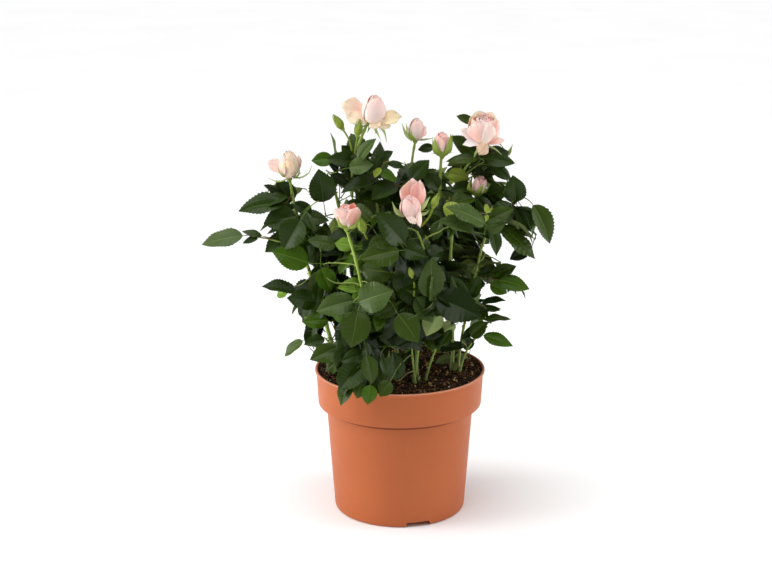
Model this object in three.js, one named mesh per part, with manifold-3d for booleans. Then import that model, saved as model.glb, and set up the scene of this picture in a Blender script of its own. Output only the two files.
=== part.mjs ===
// Potted rose bush: a patio rose with five clumps of canes, its leaves gathered in
// uneven masses, eight large blooms, and a tapered plastic nursery pot full of soil.
// Units are millimetres, +Z is up, and the origin is the centre of the pot's underside.
import * as THREE from 'three';
import { mergeVertices } from 'three/addons/utils/BufferGeometryUtils.js';
import Module from 'manifold-3d';

const wasm = await Module();
wasm.setup();

// ---------------------------------------------------------------- driving sizes
const POT = {
  height: 162.5,       // underside to the top of the rim
  rimRadius: 95,       // outside of the rolled bead
  beadHeight: 3.2,     // height of the bead
  collarTop: 93.4,     // collar radius just under the bead
  collarFoot: 91.3,    // collar radius at its lower lip
  collarLip: 122.8,    // height of the collar's lower lip
  shoulderZ: 121.8,    // height where the ledge under the lip meets the body
  bodyTop: 82.3,       // body radius under the collar
  footRadius: 73.5,    // body radius just above the rounded foot edge
  footRound: 1.8,      // rounding of the foot edge
  wall: 1.9,           // wall thickness
  floor: 8.2,          // thickness of the floor, deep enough for the channels
  sides: 36,           // facets round the pot
};
const CHANNEL = { width: 28, depth: 5.8, inner: 17, count: 3, first: 16 };   // drainage channels, degrees from the front
const DRAIN = { radius: 5, at: 47 };                                       // one hole in each channel
const SOIL = { level: 160.2, mound: 1.2, rough: 0.8, rings: 4 };
const GAP = 0.45;        // clearance between neighbouring solids
const LEAF_GAP = 1.3;    // clearance round leaf masses and blooms, before their skins are simplified
const SKIN = 0.6;        // how far simplifying may move the skin of a leaf mass
const CANE_SIDES = 6;
const SOIL_Z = 152;      // canes start here, inside the soil, and are trimmed by it

// Canes: clump foot, the way points of the limb, and its radius at the foot and the tip.
const CLUMP = {
  left:   [-68, 22],
  front:  [-16, -49],
  centre: [18, -47],
  right:  [60, -11],
  back:   [-4, 46],
};
const CANES = [
  // name, clump, offset in the clump, way points, foot radius, tip radius
  ['cane_front',        'front',  [0, 0],      [[-26, -51, 200], [-31, -49, 219], [-38, -59, 257], [-44, -66, 288], [-51, -70, 317], [-56, -69, 334]], 2.9, 1.3],
  ['cane_centre',       'centre', [-4, -1],    [[19, -49, 197], [26, -52, 243], [26, -62, 288], [24, -68, 316], [17, -70, 335]],                       2.6, 1.3],
  ['cane_front_top',    'front',  [4.5, 4.5],  [[-16, -25, 232], [-22, 0, 310], [-28, 6, 385]],                                  2.4, 1.6],
  ['cane_front_low',    'front',  [-5.5, -2],  [[-45, -54, 183], [-74, -52, 202]],                                               1.9, 1.3],
  ['cane_centre_top',   'centre', [0.5, 5.5],  [[17, -23, 242], [16, 3, 325], [18, 9, 380]],                                     2.4, 1.6],
  ['cane_centre_right', 'centre', [6, 0],      [[36, -47, 192], [48, -49, 222], [58, -58, 252]],                                 2.0, 1.4],
  ['cane_centre_low',   'centre', [-1, -6.5],  [[13, -57, 192], [11, -62, 226]],                                                 1.8, 1.3],
  ['cane_right_inner',  'right',  [-3, 0],     [[59, -1, 188], [56, 15, 245], [57, 18, 305], [66, 16, 385]],                      2.9, 1.7],
  ['cane_right_outer',  'right',  [3.5, 3.5],  [[68, 2, 190], [80, 18, 245], [92, 18, 300], [112, 8, 360]],                     2.6, 1.6],
  ['cane_right_low',    'right',  [3, -5],     [[75, -7, 185], [92, 0, 206]],                                                     2.0, 1.4],
  ['cane_left_front',   'left',   [-2, -3],    [[-79, 21, 192], [-92, 16, 240], [-106, 2, 290], [-116, -8, 312]],                2.8, 1.8],
  ['cane_left_top',     'left',   [4, 2],      [[-62, 23, 242], [-62, 26, 310], [-74, 17, 370]],                                 2.4, 1.6],
  ['cane_left_back',    'left',   [-4, 4.5],   [[-84, 49, 207], [-88, 78, 262]],                                                 2.2, 1.5],
  ['cane_back_top',     'back',   [0, 0],      [[-3, 51, 242], [-4, 68, 310], [-6, 72, 360]],                                    2.5, 1.6],
  ['cane_back_left',    'back',   [-6, 1.5],   [[-22, 67, 192], [-28, 98, 216]],                                                 2.0, 1.4],
  ['cane_back_right',   'back',   [6, 1.5],    [[26, 57, 202], [54, 80, 262]],                                                   2.2, 1.5],
];

// Flower stalks: where each leaves the leaves and where it meets its bloom.
const STALKS = [
  ['stalk_top_left',     [-53, 14, 355],  [-50, 5, 398],  [-34, 1, 441],   1.9, 1.5],
  ['stalk_top_centre',   [12, 10, 372],   [13, 8, 396],   [16, 5, 418],    1.5, 1.2],
  ['stalk_top_right',    [43, 3, 352],    [43, 0, 380],   [44, -4, 402],   1.7, 1.5],
  ['stalk_right_inner',  [82, 4, 342],    [83, 3, 352],   [84, 1, 362],    1.4, 1.2],
  ['stalk_left',         [-112, 10, 328], [-117, 4, 356], [-120, 1, 378],  1.9, 1.4],
];

// Blooms and leaf masses: centre, half sizes along X, Y and Z, roll in degrees about Y,
// number of side lobes. Each is worked out from these by unevenSolid below.
const BLOOMS = [
  ['bloom_top_left',    [-29, 0, 452],    [31, 17, 18],  -8, 1],
  ['bloom_top_centre',  [17, 5, 431],     [13, 11, 15],   8, 0],
  ['bloom_top_right',   [44, -5, 418],    [11, 11, 17],   0, 0],
  ['bloom_far_right',   [90, 5, 429],     [22, 21, 22],   0, 1],
  ['bloom_right_inner', [85, 0, 372],     [10, 9, 13],   14, 0],
  ['bloom_left',        [-122, 0, 392],   [17, 14, 17],   0, 1],
  ['bloom_mid_left',    [-57, -68, 349],  [15, 13, 15],   0, 0],
  ['bloom_centre',      [11, -72, 360],   [14, 14, 24],  10, 0],
];
const MASSES = [
  ['foliage_front_rim',      [-39, -86, 178],  [31, 22, 31],    0, 2],
  ['foliage_low_left',       [-84, -50, 202],  [29, 34, 17],   10, 1],
  ['foliage_left_lower',     [-118, -5, 245],  [36, 30, 15],   15, 1],
  ['foliage_left_inner',     [-84, -22, 245],  [25, 36, 36],    0, 1],
  ['foliage_centre_left',    [-40, -66, 249],  [31, 36, 41],    0, 1],
  ['foliage_centre_low',     [11, -70, 236],   [31, 36, 27],    0, 1],
  ['foliage_centre_right',   [57, -60, 258],   [34, 38, 26],   -8, 1],
  ['foliage_centre',         [22, -64, 295],   [27, 36, 29],    0, 1],
  ['foliage_centre_upper',   [-16, -62, 325],  [37, 38, 30],    0, 1],
  ['foliage_left_mid',       [-113, -22, 305], [25, 32, 31],    6, 1],
  ['foliage_left_centre',    [-72, -4, 298],   [29, 32, 28],    0, 1],
  ['foliage_left_wing',      [-141, 5, 339],   [36, 30, 19],   24, 1],
  ['foliage_left_tip',       [-179, 0, 310],   [41, 14, 10],   -4, 1],
  ['foliage_left_upper',     [-108, 20, 352],  [28, 26, 27],    0, 1],
  ['foliage_top_left',       [-74, 14, 378],   [26, 26, 30],    8, 1],
  ['foliage_top_centre',     [-27, 8, 396],    [28, 28, 25],    0, 1],
  ['foliage_upper_centre',   [-30, 14, 353],   [44, 30, 23],    0, 1],
  ['foliage_top_mid_right',  [22, 10, 382],    [27, 26, 28],    0, 1],
  ['foliage_top_right',      [76, 15, 388],    [42, 34, 25],    6, 1],
  ['foliage_right_upper',    [118, 5, 368],    [23, 26, 20],    0, 1],
  ['foliage_right_shoulder', [76, -30, 340],   [45, 38, 23],    0, 1],
  ['foliage_right_tip',      [141, -5, 318],   [26, 24, 31],    0, 1],
  ['foliage_right_mid',      [112, 6, 262],    [34, 34, 21],    6, 1],
  ['foliage_right_lower',    [100, 2, 212],    [31, 34, 27],    0, 1],
  ['foliage_back_left',      [-80, 80, 257],   [56, 44, 52],    0, 2],
  ['foliage_back_right',     [66, 82, 263],    [56, 44, 52],    0, 2],
  ['foliage_back_upper',     [-4, 74, 345],    [70, 42, 42],    0, 2],
  ['foliage_back_low',       [-6, 104, 206],   [58, 34, 32],    0, 1],
];

// ---------------------------------------------------------------- helpers
function randomFrom(seed) {
  let a = seed >>> 0;
  return () => {
    a = (a + 0x6d2b79f5) >>> 0;
    let t = a;
    t = Math.imul(t ^ (t >>> 15), t | 1);
    t ^= t + Math.imul(t ^ (t >>> 7), t | 61);
    return ((t ^ (t >>> 14)) >>> 0) / 4294967296;
  };
}
function toSolid(geometry) {
  const g = geometry.clone();
  g.deleteAttribute('normal');
  g.deleteAttribute('uv');
  const merged = mergeVertices(g, 1e-4);
  return new wasm.Manifold(new wasm.Mesh({
    numProp: 3,
    vertProperties: new Float32Array(merged.attributes.position.array),
    triVerts: new Uint32Array(merged.index.array),
  }));
}
function toGeometry(solid) {
  const m = solid.getMesh();
  const g = new THREE.BufferGeometry();
  const p = new Float32Array(m.numVert * 3);
  for (let i = 0; i < m.numVert; i++) {
    for (let k = 0; k < 3; k++) p[3 * i + k] = m.vertProperties[m.numProp * i + k];
  }
  g.setAttribute('position', new THREE.BufferAttribute(p, 3));
  g.setIndex(new THREE.BufferAttribute(new Uint32Array(m.triVerts), 1));
  g.computeVertexNormals();
  return g;
}
function largest(solid) {
  let best = null;
  for (const piece of solid.decompose()) {
    if (!best || piece.volume() > best.volume()) best = piece;
  }
  return best ?? solid;
}
function lowest(solid) {
  let best = null;
  for (const piece of solid.decompose()) {
    if (piece.volume() < 20) continue;
    if (!best || piece.boundingBox().min[2] < best.boundingBox().min[2]) best = piece;
  }
  return best ?? solid;
}

// An uneven closed solid from its half sizes: a core with a rough skin and side lobes.
function unevenSolid(centre, half, roll, lobes, seed, grow = 0) {
  const rnd = randomFrom(seed);
  const blob = (offset, size, rough, geo) => {
    const phase = [rnd() * 6.283, rnd() * 6.283, rnd() * 6.283, rnd() * 6.283];
    const p = geo.attributes.position;
    const v = new THREE.Vector3();
    for (let i = 0; i < p.count; i++) {
      v.fromBufferAttribute(p, i).normalize();
      const wave = Math.sin(3.1 * v.x + 1.7 * v.z + phase[0]) + Math.sin(3.7 * v.y - 2.3 * v.x + phase[1])
        + Math.sin(4.3 * v.z + 2.9 * v.y + phase[2]) + Math.sin(5.1 * v.x * v.z + phase[3]);
      const s = 1 + rough * 0.25 * wave;
      p.setXYZ(i,
        offset[0] + v.x * (size[0] * s + grow),
        offset[1] + v.y * (size[1] * s + grow),
        offset[2] + v.z * (size[2] * s + grow));
    }
    return toSolid(geo);
  };
  let body = blob([0, 0, 0], half.map((h) => h * 0.94), 0.28, new THREE.IcosahedronGeometry(1, 1));
  const turn = rnd() * 6.283;
  for (let i = 0; i < lobes; i++) {
    const a = turn + (i + 0.35 * (rnd() - 0.5)) * (6.283 / lobes);
    const b = (rnd() - 0.5) * 1.3;
    const d = [Math.cos(a) * Math.cos(b), Math.sin(b), Math.sin(a) * Math.cos(b)];
    const size = 0.46 + 0.1 * rnd();
    body = body.add(blob(d.map((q, k) => q * half[k] * (1.1 - size)), half.map((h) => h * size), 0.18,
      new THREE.OctahedronGeometry(1, 1)));
  }
  return body.rotate([0, roll, 0]).translate(centre);
}

// A tapering limb with a closed foot and tip along a smooth curve through its way points.
function limb(points, r0, r1, steps, grow = 0, sides = CANE_SIDES) {
  const curve = new THREE.CatmullRomCurve3(points.map((p) => new THREE.Vector3(...p)), false, 'centripetal');
  const frames = curve.computeFrenetFrames(steps, false);
  const pos = [], idx = [];
  for (let i = 0; i <= steps; i++) {
    const t = i / steps;
    const c = curve.getPointAt(t);
    const r = r0 + (r1 - r0) * Math.pow(t, 0.8) + grow;
    for (let k = 0; k < sides; k++) {
      const a = (k / sides) * Math.PI * 2;
      const q = c.clone().addScaledVector(frames.normals[i], Math.cos(a) * r).addScaledVector(frames.binormals[i], Math.sin(a) * r);
      pos.push(q.x, q.y, q.z);
    }
  }
  const foot = pos.length / 3;
  const a0 = curve.getPointAt(0), a1 = curve.getPointAt(1);
  pos.push(a0.x, a0.y, a0.z, a1.x, a1.y, a1.z);
  for (let i = 0; i < steps; i++) {
    for (let k = 0; k < sides; k++) {
      const a = i * sides + k, b = i * sides + (k + 1) % sides, c = a + sides, d = b + sides;
      idx.push(a, b, d, a, d, c);
    }
  }
  for (let k = 0; k < sides; k++) {
    const n = (k + 1) % sides, top = steps * sides;
    idx.push(foot, n, k, foot + 1, top + k, top + n);
  }
  const g = new THREE.BufferGeometry();
  g.setAttribute('position', new THREE.BufferAttribute(new Float32Array(pos), 3));
  g.setIndex(idx);
  let s = toSolid(g);
  if (s.volume() < 0) {
    g.setIndex(idx.map((_, i) => idx[i - (i % 3) + (2 - (i % 3))]));
    s = toSolid(g);
  }
  return s;
}

// ---------------------------------------------------------------- pot
function latheSolid(profile, sides) {
  const geo = new THREE.LatheGeometry(profile.map(([r, z]) => new THREE.Vector2(r, z)), sides);
  geo.rotateX(Math.PI / 2);     // LatheGeometry turns about Y; the pot stands along Z
  let s = toSolid(geo);
  if (s.volume() < 0) {
    const g = geo.clone();
    const i = Array.from(g.index.array);
    for (let k = 0; k < i.length; k += 3) [i[k], i[k + 2]] = [i[k + 2], i[k]];
    g.setIndex(i);
    s = toSolid(g);
  }
  return s;
}
const P = POT;
const outer = [
  [0, 0],
  [P.footRadius - P.footRound, 0],
  [P.footRadius - P.footRound * 0.3, P.footRound * 0.32],
  [P.footRadius, P.footRound * 1.1],
  [P.bodyTop, P.shoulderZ],
  [P.collarFoot, P.collarLip],
  [P.collarTop, P.height - P.beadHeight],
  [P.rimRadius, P.height - P.beadHeight * 0.7],
  [P.rimRadius, P.height - P.beadHeight * 0.25],
  [P.rimRadius - 0.9, P.height],
];
const inner = [
  [P.collarTop - P.wall + 0.3, P.height],
  [P.collarFoot - P.wall, P.collarLip + P.wall],
  [P.bodyTop - P.wall, P.shoulderZ + P.wall],
  [P.footRadius - P.wall, P.floor],
  [0, P.floor],
];
let potSolid = latheSolid([...outer, ...inner], P.sides);
for (let i = 0; i < CHANNEL.count; i++) {
  const turn = THREE.MathUtils.degToRad(CHANNEL.first + i * (360 / CHANNEL.count) - 90);
  const long = P.footRadius + 10 - CHANNEL.inner;
  const slot = new THREE.BoxGeometry(long, CHANNEL.width, CHANNEL.depth * 2);
  slot.translate(CHANNEL.inner + long / 2, 0, 0);
  slot.rotateZ(turn);
  potSolid = potSolid.subtract(toSolid(slot));
  const drain = new THREE.CylinderGeometry(DRAIN.radius, DRAIN.radius, 20, 10);
  drain.rotateX(Math.PI / 2);
  drain.translate(Math.cos(turn) * DRAIN.at, Math.sin(turn) * DRAIN.at, 5);
  potSolid = potSolid.subtract(toSolid(drain));
}
// what leaves and canes are trimmed by: the pot's outside, solid, a little larger
const potCutter = latheSolid([
  [0, -1], [P.footRadius + GAP, -1], [P.bodyTop + GAP, P.shoulderZ - GAP], [P.collarFoot + GAP, P.collarLip - GAP],
  [P.collarTop + GAP, P.height - P.beadHeight - GAP], [P.rimRadius + GAP, P.height - P.beadHeight * 0.7 - GAP],
  [P.rimRadius + GAP, P.height + GAP], [P.collarTop - P.wall - GAP, P.height + GAP],
  [P.collarTop - P.wall - GAP - 0.3, SOIL.level - 4], [0, SOIL.level - 4],
], P.sides);

// ---------------------------------------------------------------- soil
function soilTop(x, y) {
  const r = Math.hypot(x, y) / P.collarTop;
  return SOIL.level + SOIL.mound * (1 - r * r)
    + SOIL.rough * (Math.sin(0.11 * x + 1.3) * Math.cos(0.09 * y + 0.4) + 0.6 * Math.sin(0.21 * x - 0.17 * y + 2.1));
}
function soilSolid(grow) {
  const n = P.sides, shrink = GAP / Math.cos(Math.PI / n);
  const wall = (z) => {
    // inside radius of the pot at a height
    const pts = [[P.floor, P.footRadius - P.wall], [P.shoulderZ + P.wall, P.bodyTop - P.wall],
      [P.collarLip + P.wall, P.collarFoot - P.wall], [P.height, P.collarTop - P.wall + 0.3]];
    for (let i = 0; i < pts.length - 1; i++) {
      if (z <= pts[i + 1][0]) {
        const t = (z - pts[i][0]) / (pts[i + 1][0] - pts[i][0]);
        return pts[i][1] + t * (pts[i + 1][1] - pts[i][1]) - shrink;
      }
    }
    return pts[pts.length - 1][1] - shrink;
  };
  const pos = [], idx = [];
  const ledge = P.shoulderZ + P.wall, levels = [P.floor + GAP, ledge + 0.7, P.collarLip + P.wall + 1.2];
  for (const z of levels) {
    const r = wall(z === levels[1] ? ledge : z);
    for (let k = 0; k < n; k++) {
      const a = (k / n) * Math.PI * 2;
      pos.push(Math.sin(a) * r, Math.cos(a) * r, z);
    }
  }
  const topRadius = wall(SOIL.level);
  for (let j = SOIL.rings; j >= 1; j--) {
    for (let k = 0; k < n; k++) {
      const a = (k / n) * Math.PI * 2, r = topRadius * (j / SOIL.rings);
      const x = Math.sin(a) * r, y = Math.cos(a) * r;
      const ring = levels.length + (SOIL.rings - j);
      if (j < SOIL.rings && k % 2 && j < 4) continue;
      pos.push(x, y, soilTop(x, y) + grow);
    }
  }
  // rings with half the points are joined below
  const counts = levels.map(() => n);
  for (let j = SOIL.rings; j >= 1; j--) counts.push(j < 4 ? n / 2 : n);
  const start = [];
  let at = 0;
  for (const c of counts) { start.push(at); at += c; }
  for (let i = 0; i + 1 < counts.length; i++) {
    const a = start[i], b = start[i + 1];
    if (counts[i] === counts[i + 1]) {
      for (let k = 0; k < counts[i]; k++) {
        const m = (k + 1) % counts[i];
        idx.push(a + k, b + m, a + m, a + k, b + k, b + m);
      }
    } else {
      for (let k = 0; k < counts[i + 1]; k++) {
        const m = (k + 1) % counts[i + 1];
        const o = 2 * k, o1 = 2 * k + 1, o2 = (2 * k + 2) % counts[i];
        idx.push(a + o, b + k, a + o1, a + o1, b + k, b + m, a + o1, b + m, a + o2);
      }
    }
  }
  const bottom = pos.length / 3;
  pos.push(0, 0, levels[0], 0, 0, soilTop(0, 0) + grow);
  for (let k = 0; k < n; k++) idx.push(bottom, k, (k + 1) % n);
  const last = start[start.length - 1], lc = counts[counts.length - 1];
  for (let k = 0; k < lc; k++) idx.push(bottom + 1, last + (k + 1) % lc, last + k);
  const g = new THREE.BufferGeometry();
  g.setAttribute('position', new THREE.BufferAttribute(new Float32Array(pos), 3));
  g.setIndex(idx);
  let s = toSolid(g);
  if (s.volume() < 0) {
    for (let k = 0; k < idx.length; k += 3) [idx[k], idx[k + 2]] = [idx[k + 2], idx[k]];
    g.setIndex(idx);
    s = toSolid(g);
  }
  return s;
}
const soilBody = soilSolid(0);
const soilCutter = soilSolid(GAP);

// ---------------------------------------------------------------- the plant
const cutters = [];        // everything that later pieces keep clear of
const pieces = [];         // [name, solid, material]

const bloomSolids = BLOOMS.map(([name, c, h, roll, lobes], i) => {
  const s = unevenSolid(c, h, roll, lobes, 900 + 17 * i);
  cutters.push(unevenSolid(c, h, roll, lobes, 900 + 17 * i, LEAF_GAP));
  return [name, s];
});

function canePath([name, clump, off, way]) {
  const foot = [CLUMP[clump][0] + off[0], CLUMP[clump][1] + off[1], SOIL_Z];
  return [foot, ...way];
}
function steps(points) {
  let l = 0;
  for (let i = 1; i < points.length; i++) l += Math.hypot(...points[i].map((q, k) => q - points[i - 1][k]));
  return Math.max(3, Math.round(l / 32));
}
const caneCut = [];
const wholeCanes = 2;      // the first two stand in front of the leaves and run up to their blooms
const caneSolids = [];
CANES.forEach((row, i) => {
  const path = canePath(row);
  const n = steps(path);
  let s = limb(path, row[4], row[5], n);
  s = s.subtract(soilCutter);
  for (const c of cutters) s = s.subtract(c);
  for (const c of caneCut) s = s.subtract(c);
  caneCut.push(limb(path, row[4], row[5], n, GAP));
  caneSolids.push([row[0], lowest(s)]);
});
for (let i = 0; i < wholeCanes; i++) cutters.push(caneCut[i]);

const massSolids = MASSES.map(([name, c, h, roll, lobes], i) => {
  let s = unevenSolid(c, h, roll, lobes, 100 + 13 * i);
  s = s.subtract(potCutter).subtract(soilCutter);
  for (const q of cutters) s = s.subtract(q);
  cutters.push(unevenSolid(c, h, roll, lobes, 100 + 13 * i, LEAF_GAP));
  return [name, largest(s.simplify(SKIN))];
});

for (let i = wholeCanes; i < caneSolids.length; i++) {
  let s = caneSolids[i][1];
  for (const q of cutters) s = s.subtract(q);
  caneSolids[i][1] = lowest(s.simplify(0.1));
}
const stalkSolids = STALKS.map(([name, a, b, c, r0, r1]) => {
  let s = limb([a, b, c], r0, r1, 4);
  for (const q of cutters) s = s.subtract(q);
  return [name, largest(s.simplify(0.1))];
});

// ---------------------------------------------------------------- scene graph
const finish = {
  pot: new THREE.MeshStandardMaterial({ color: 0xb0603c, roughness: 0.45, metalness: 0 }),
  soil: new THREE.MeshStandardMaterial({ color: 0x2a1b14, roughness: 0.95, metalness: 0 }),
  cane: new THREE.MeshStandardMaterial({ color: 0x7f9a3c, roughness: 0.6, metalness: 0 }),
  stalk: new THREE.MeshStandardMaterial({ color: 0x95ac58, roughness: 0.6, metalness: 0 }),
  leaf: new THREE.MeshStandardMaterial({ color: 0x2c4a25, roughness: 0.55, metalness: 0 }),
  bloom: new THREE.MeshStandardMaterial({ color: 0xf3c6bd, roughness: 0.7, metalness: 0 }),
};
const rose = new THREE.Group();
const plant = new THREE.Group();
const put = (parent, name, solid, material) => {
  const mesh = new THREE.Mesh(toGeometry(solid), material);
  mesh.name = name;
  parent.add(mesh);
};
put(rose, 'pot', potSolid, finish.pot);
put(rose, 'soil', soilBody, finish.soil);
for (const [n, s] of caneSolids) put(plant, n, s, finish.cane);
for (const [n, s] of stalkSolids) put(plant, n, s, finish.stalk);
for (const [n, s] of massSolids) put(plant, n, s, finish.leaf);
for (const [n, s] of bloomSolids) put(plant, n, s, finish.bloom);
rose.add(plant);

export default rose;
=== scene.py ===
"""Looks for the potted rose bush. Sizes are in millimetres in the part's frame, and meshes
are written in metres. Everything random comes from one seeded generator."""
import math
import bpy
import numpy as np
from mathutils import Matrix, Vector


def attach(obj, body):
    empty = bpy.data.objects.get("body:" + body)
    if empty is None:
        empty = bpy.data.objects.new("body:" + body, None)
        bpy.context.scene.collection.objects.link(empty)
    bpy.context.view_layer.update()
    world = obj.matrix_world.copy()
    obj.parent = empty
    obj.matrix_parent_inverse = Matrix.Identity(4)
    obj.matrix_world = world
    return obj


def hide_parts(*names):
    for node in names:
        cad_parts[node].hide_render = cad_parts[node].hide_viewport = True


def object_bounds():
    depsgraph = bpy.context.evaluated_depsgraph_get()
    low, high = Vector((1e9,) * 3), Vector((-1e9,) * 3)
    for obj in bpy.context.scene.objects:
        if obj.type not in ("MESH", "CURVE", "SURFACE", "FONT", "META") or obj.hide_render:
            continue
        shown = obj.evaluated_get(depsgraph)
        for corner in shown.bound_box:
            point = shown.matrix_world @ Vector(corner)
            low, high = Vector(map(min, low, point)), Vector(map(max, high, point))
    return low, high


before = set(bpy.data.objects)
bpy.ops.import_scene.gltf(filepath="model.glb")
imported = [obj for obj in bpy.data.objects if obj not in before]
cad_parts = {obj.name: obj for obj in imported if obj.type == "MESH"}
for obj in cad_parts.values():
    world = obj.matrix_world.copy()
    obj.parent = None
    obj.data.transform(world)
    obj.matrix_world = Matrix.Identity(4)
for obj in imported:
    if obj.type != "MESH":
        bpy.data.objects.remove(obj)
BOX_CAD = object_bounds()
rng = np.random.default_rng(7316)
UP = np.array([0.0, 0.0, 1.0])

# ---------------------------------------------------------------- sizes, as in the part
POT = dict(height=162.5, rim=95.0, bead=3.2, collar_top=93.4, collar_foot=91.3, lip=122.8,
           shoulder=121.8, body_top=82.3, foot=73.5, foot_round=1.8, wall=1.9, floor=8.2)
CHANNEL = dict(width=28.0, depth=5.8, inner=17.0, count=3, first=16.0)
DRAIN = dict(radius=5.0, at=47.0)
SOIL = dict(level=160.2, mound=1.2, rough=0.8)
SOIL_Z = 152.0
CLUMP = dict(left=(-68, 22), front=(-16, -49), centre=(18, -47), right=(60, -11), back=(-4, 46))
CANES = [
    ("cane_front", "front", (0, 0), [(-26, -51, 200), (-31, -49, 219), (-38, -59, 257), (-44, -66, 288), (-51, -70, 317), (-56, -69, 334)], 2.9, 1.3),
    ("cane_centre", "centre", (-4, -1), [(19, -49, 197), (26, -52, 243), (26, -62, 288), (24, -68, 316), (17, -70, 335)], 2.6, 1.3),
    ("cane_front_top", "front", (4.5, 4.5), [(-16, -25, 232), (-22, 0, 310), (-28, 6, 385)], 2.4, 1.6),
    ("cane_front_low", "front", (-5.5, -2), [(-45, -54, 183), (-74, -52, 202)], 1.9, 1.3),
    ("cane_centre_top", "centre", (0.5, 5.5), [(17, -23, 242), (16, 3, 325), (18, 9, 380)], 2.4, 1.6),
    ("cane_centre_right", "centre", (6, 0), [(36, -47, 192), (48, -49, 222), (58, -58, 252)], 2.0, 1.4),
    ("cane_centre_low", "centre", (-1, -6.5), [(13, -57, 192), (11, -62, 226)], 1.8, 1.3),
    ("cane_right_inner", "right", (-3, 0), [(59, -1, 188), (56, 15, 245), (57, 18, 305), (66, 16, 385)], 2.9, 1.7),
    ("cane_right_outer", "right", (3.5, 3.5), [(68, 2, 190), (80, 18, 245), (92, 18, 300), (112, 8, 360)], 2.6, 1.6),
    ("cane_right_low", "right", (3, -5), [(75, -7, 185), (92, 0, 206)], 2.0, 1.4),
    ("cane_left_front", "left", (-2, -3), [(-79, 21, 192), (-92, 16, 240), (-106, 2, 290), (-116, -8, 312)], 2.8, 1.8),
    ("cane_left_top", "left", (4, 2), [(-62, 23, 242), (-62, 26, 310), (-74, 17, 370)], 2.4, 1.6),
    ("cane_left_back", "left", (-4, 4.5), [(-84, 49, 207), (-88, 78, 262)], 2.2, 1.5),
    ("cane_back_top", "back", (0, 0), [(-3, 51, 242), (-4, 68, 310), (-6, 72, 360)], 2.5, 1.6),
    ("cane_back_left", "back", (-6, 1.5), [(-22, 67, 192), (-28, 98, 216)], 2.0, 1.4),
    ("cane_back_right", "back", (6, 1.5), [(26, 57, 202), (54, 80, 262)], 2.2, 1.5),
]
STALKS = [
    ("stalk_top_left", [(-53, 14, 355), (-50, 5, 398), (-34, 1, 441)], 1.9, 1.5),
    ("stalk_top_centre", [(12, 10, 372), (13, 8, 396), (16, 5, 418)], 1.5, 1.2),
    ("stalk_top_right", [(43, 3, 352), (43, 0, 380), (44, -4, 402)], 1.7, 1.5),
    ("stalk_right_inner", [(82, 4, 342), (83, 3, 352), (84, 1, 362)], 1.4, 1.2),
    ("stalk_left", [(-112, 10, 328), (-117, 4, 356), (-120, 1, 378)], 1.9, 1.4),
]
MASSES = [   # centre, half sizes, roll about Y
    ("foliage_front_rim", (-39, -86, 178), (31, 22, 31), 0),
    ("foliage_low_left", (-84, -50, 202), (29, 34, 17), 10),
    ("foliage_left_lower", (-118, -5, 245), (36, 30, 15), 15),
    ("foliage_left_inner", (-84, -22, 245), (25, 36, 36), 0),
    ("foliage_centre_left", (-40, -66, 249), (31, 36, 41), 0),
    ("foliage_centre_low", (11, -70, 236), (31, 36, 27), 0),
    ("foliage_centre_right", (57, -60, 258), (34, 38, 26), -8),
    ("foliage_centre", (22, -64, 295), (27, 36, 29), 0),
    ("foliage_centre_upper", (-16, -62, 325), (37, 38, 30), 0),
    ("foliage_left_mid", (-113, -22, 305), (25, 32, 31), 6),
    ("foliage_left_centre", (-72, -4, 298), (29, 32, 28), 0),
    ("foliage_left_wing", (-141, 5, 339), (36, 30, 19), 24),
    ("foliage_left_tip", (-179, 0, 310), (41, 14, 10), -4),
    ("foliage_left_upper", (-108, 20, 352), (28, 26, 27), 0),
    ("foliage_top_left", (-74, 14, 378), (26, 26, 30), 8),
    ("foliage_top_centre", (-27, 8, 396), (28, 28, 25), 0),
    ("foliage_upper_centre", (-30, 14, 353), (44, 30, 23), 0),
    ("foliage_top_mid_right", (22, 10, 382), (27, 26, 28), 0),
    ("foliage_top_right", (76, 15, 388), (42, 34, 25), 6),
    ("foliage_right_upper", (118, 5, 368), (23, 26, 20), 0),
    ("foliage_right_shoulder", (76, -30, 340), (45, 38, 23), 0),
    ("foliage_right_tip", (141, -5, 318), (26, 24, 31), 0),
    ("foliage_right_mid", (112, 6, 262), (34, 34, 21), 6),
    ("foliage_right_lower", (100, 2, 212), (31, 34, 27), 0),
    ("foliage_back_left", (-80, 80, 257), (56, 44, 52), 0),
    ("foliage_back_right", (66, 82, 263), (56, 44, 52), 0),
    ("foliage_back_upper", (-4, 74, 345), (70, 42, 42), 0),
    ("foliage_back_low", (-6, 104, 206), (58, 34, 32), 0),
]
EYE = np.array([-15.5, -1700.7, 728.1])      # where the leading leaves and openings are seen from
LEAFLET_LIMIT = 1180
STALK_MARKS = [     # flower stalks that stand in the open, from the front: from, to
    ((-118, -2, 374), (-108, -4, 340)), ((-53, -70, 334), (-44, -70, 300)), ((-44, -70, 300), (-40, -66, 272)), ((16, 4, 412), (18, 4, 392)), ((46, -4, 398), (44, -2, 368)), ((-50, 4, 408), (-52, 6, 366)), ((24, -68, 344), (18, -66, 326))]
BLOOM_MARKS = [     # the blooms and the buds that stay in sight: centre, half width, half height
    ((-29, -4, 453), 15, 18), ((-57, 2, 456), 9, 9), ((-8, -4, 443), 10, 9), ((17, 3, 431), 12, 15), ((44.6, -8, 416), 12, 17), ((89, -4, 430), 20, 19), ((85, -4, 370), 11, 12),
    ((-120, -4, 393), 14, 18), ((-139, -2, 392), 8, 9), ((-57, -74, 351), 15, 15), ((9, -84, 364), 14, 15), ((14, -70, 380), 12, 13), ((-38.5, -76, 350), 7, 9), ((34, -76, 371), 8, 10), ((-67, 0, 438), 8, 10), ((-46, -3, 434), 7, 10)]
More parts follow.
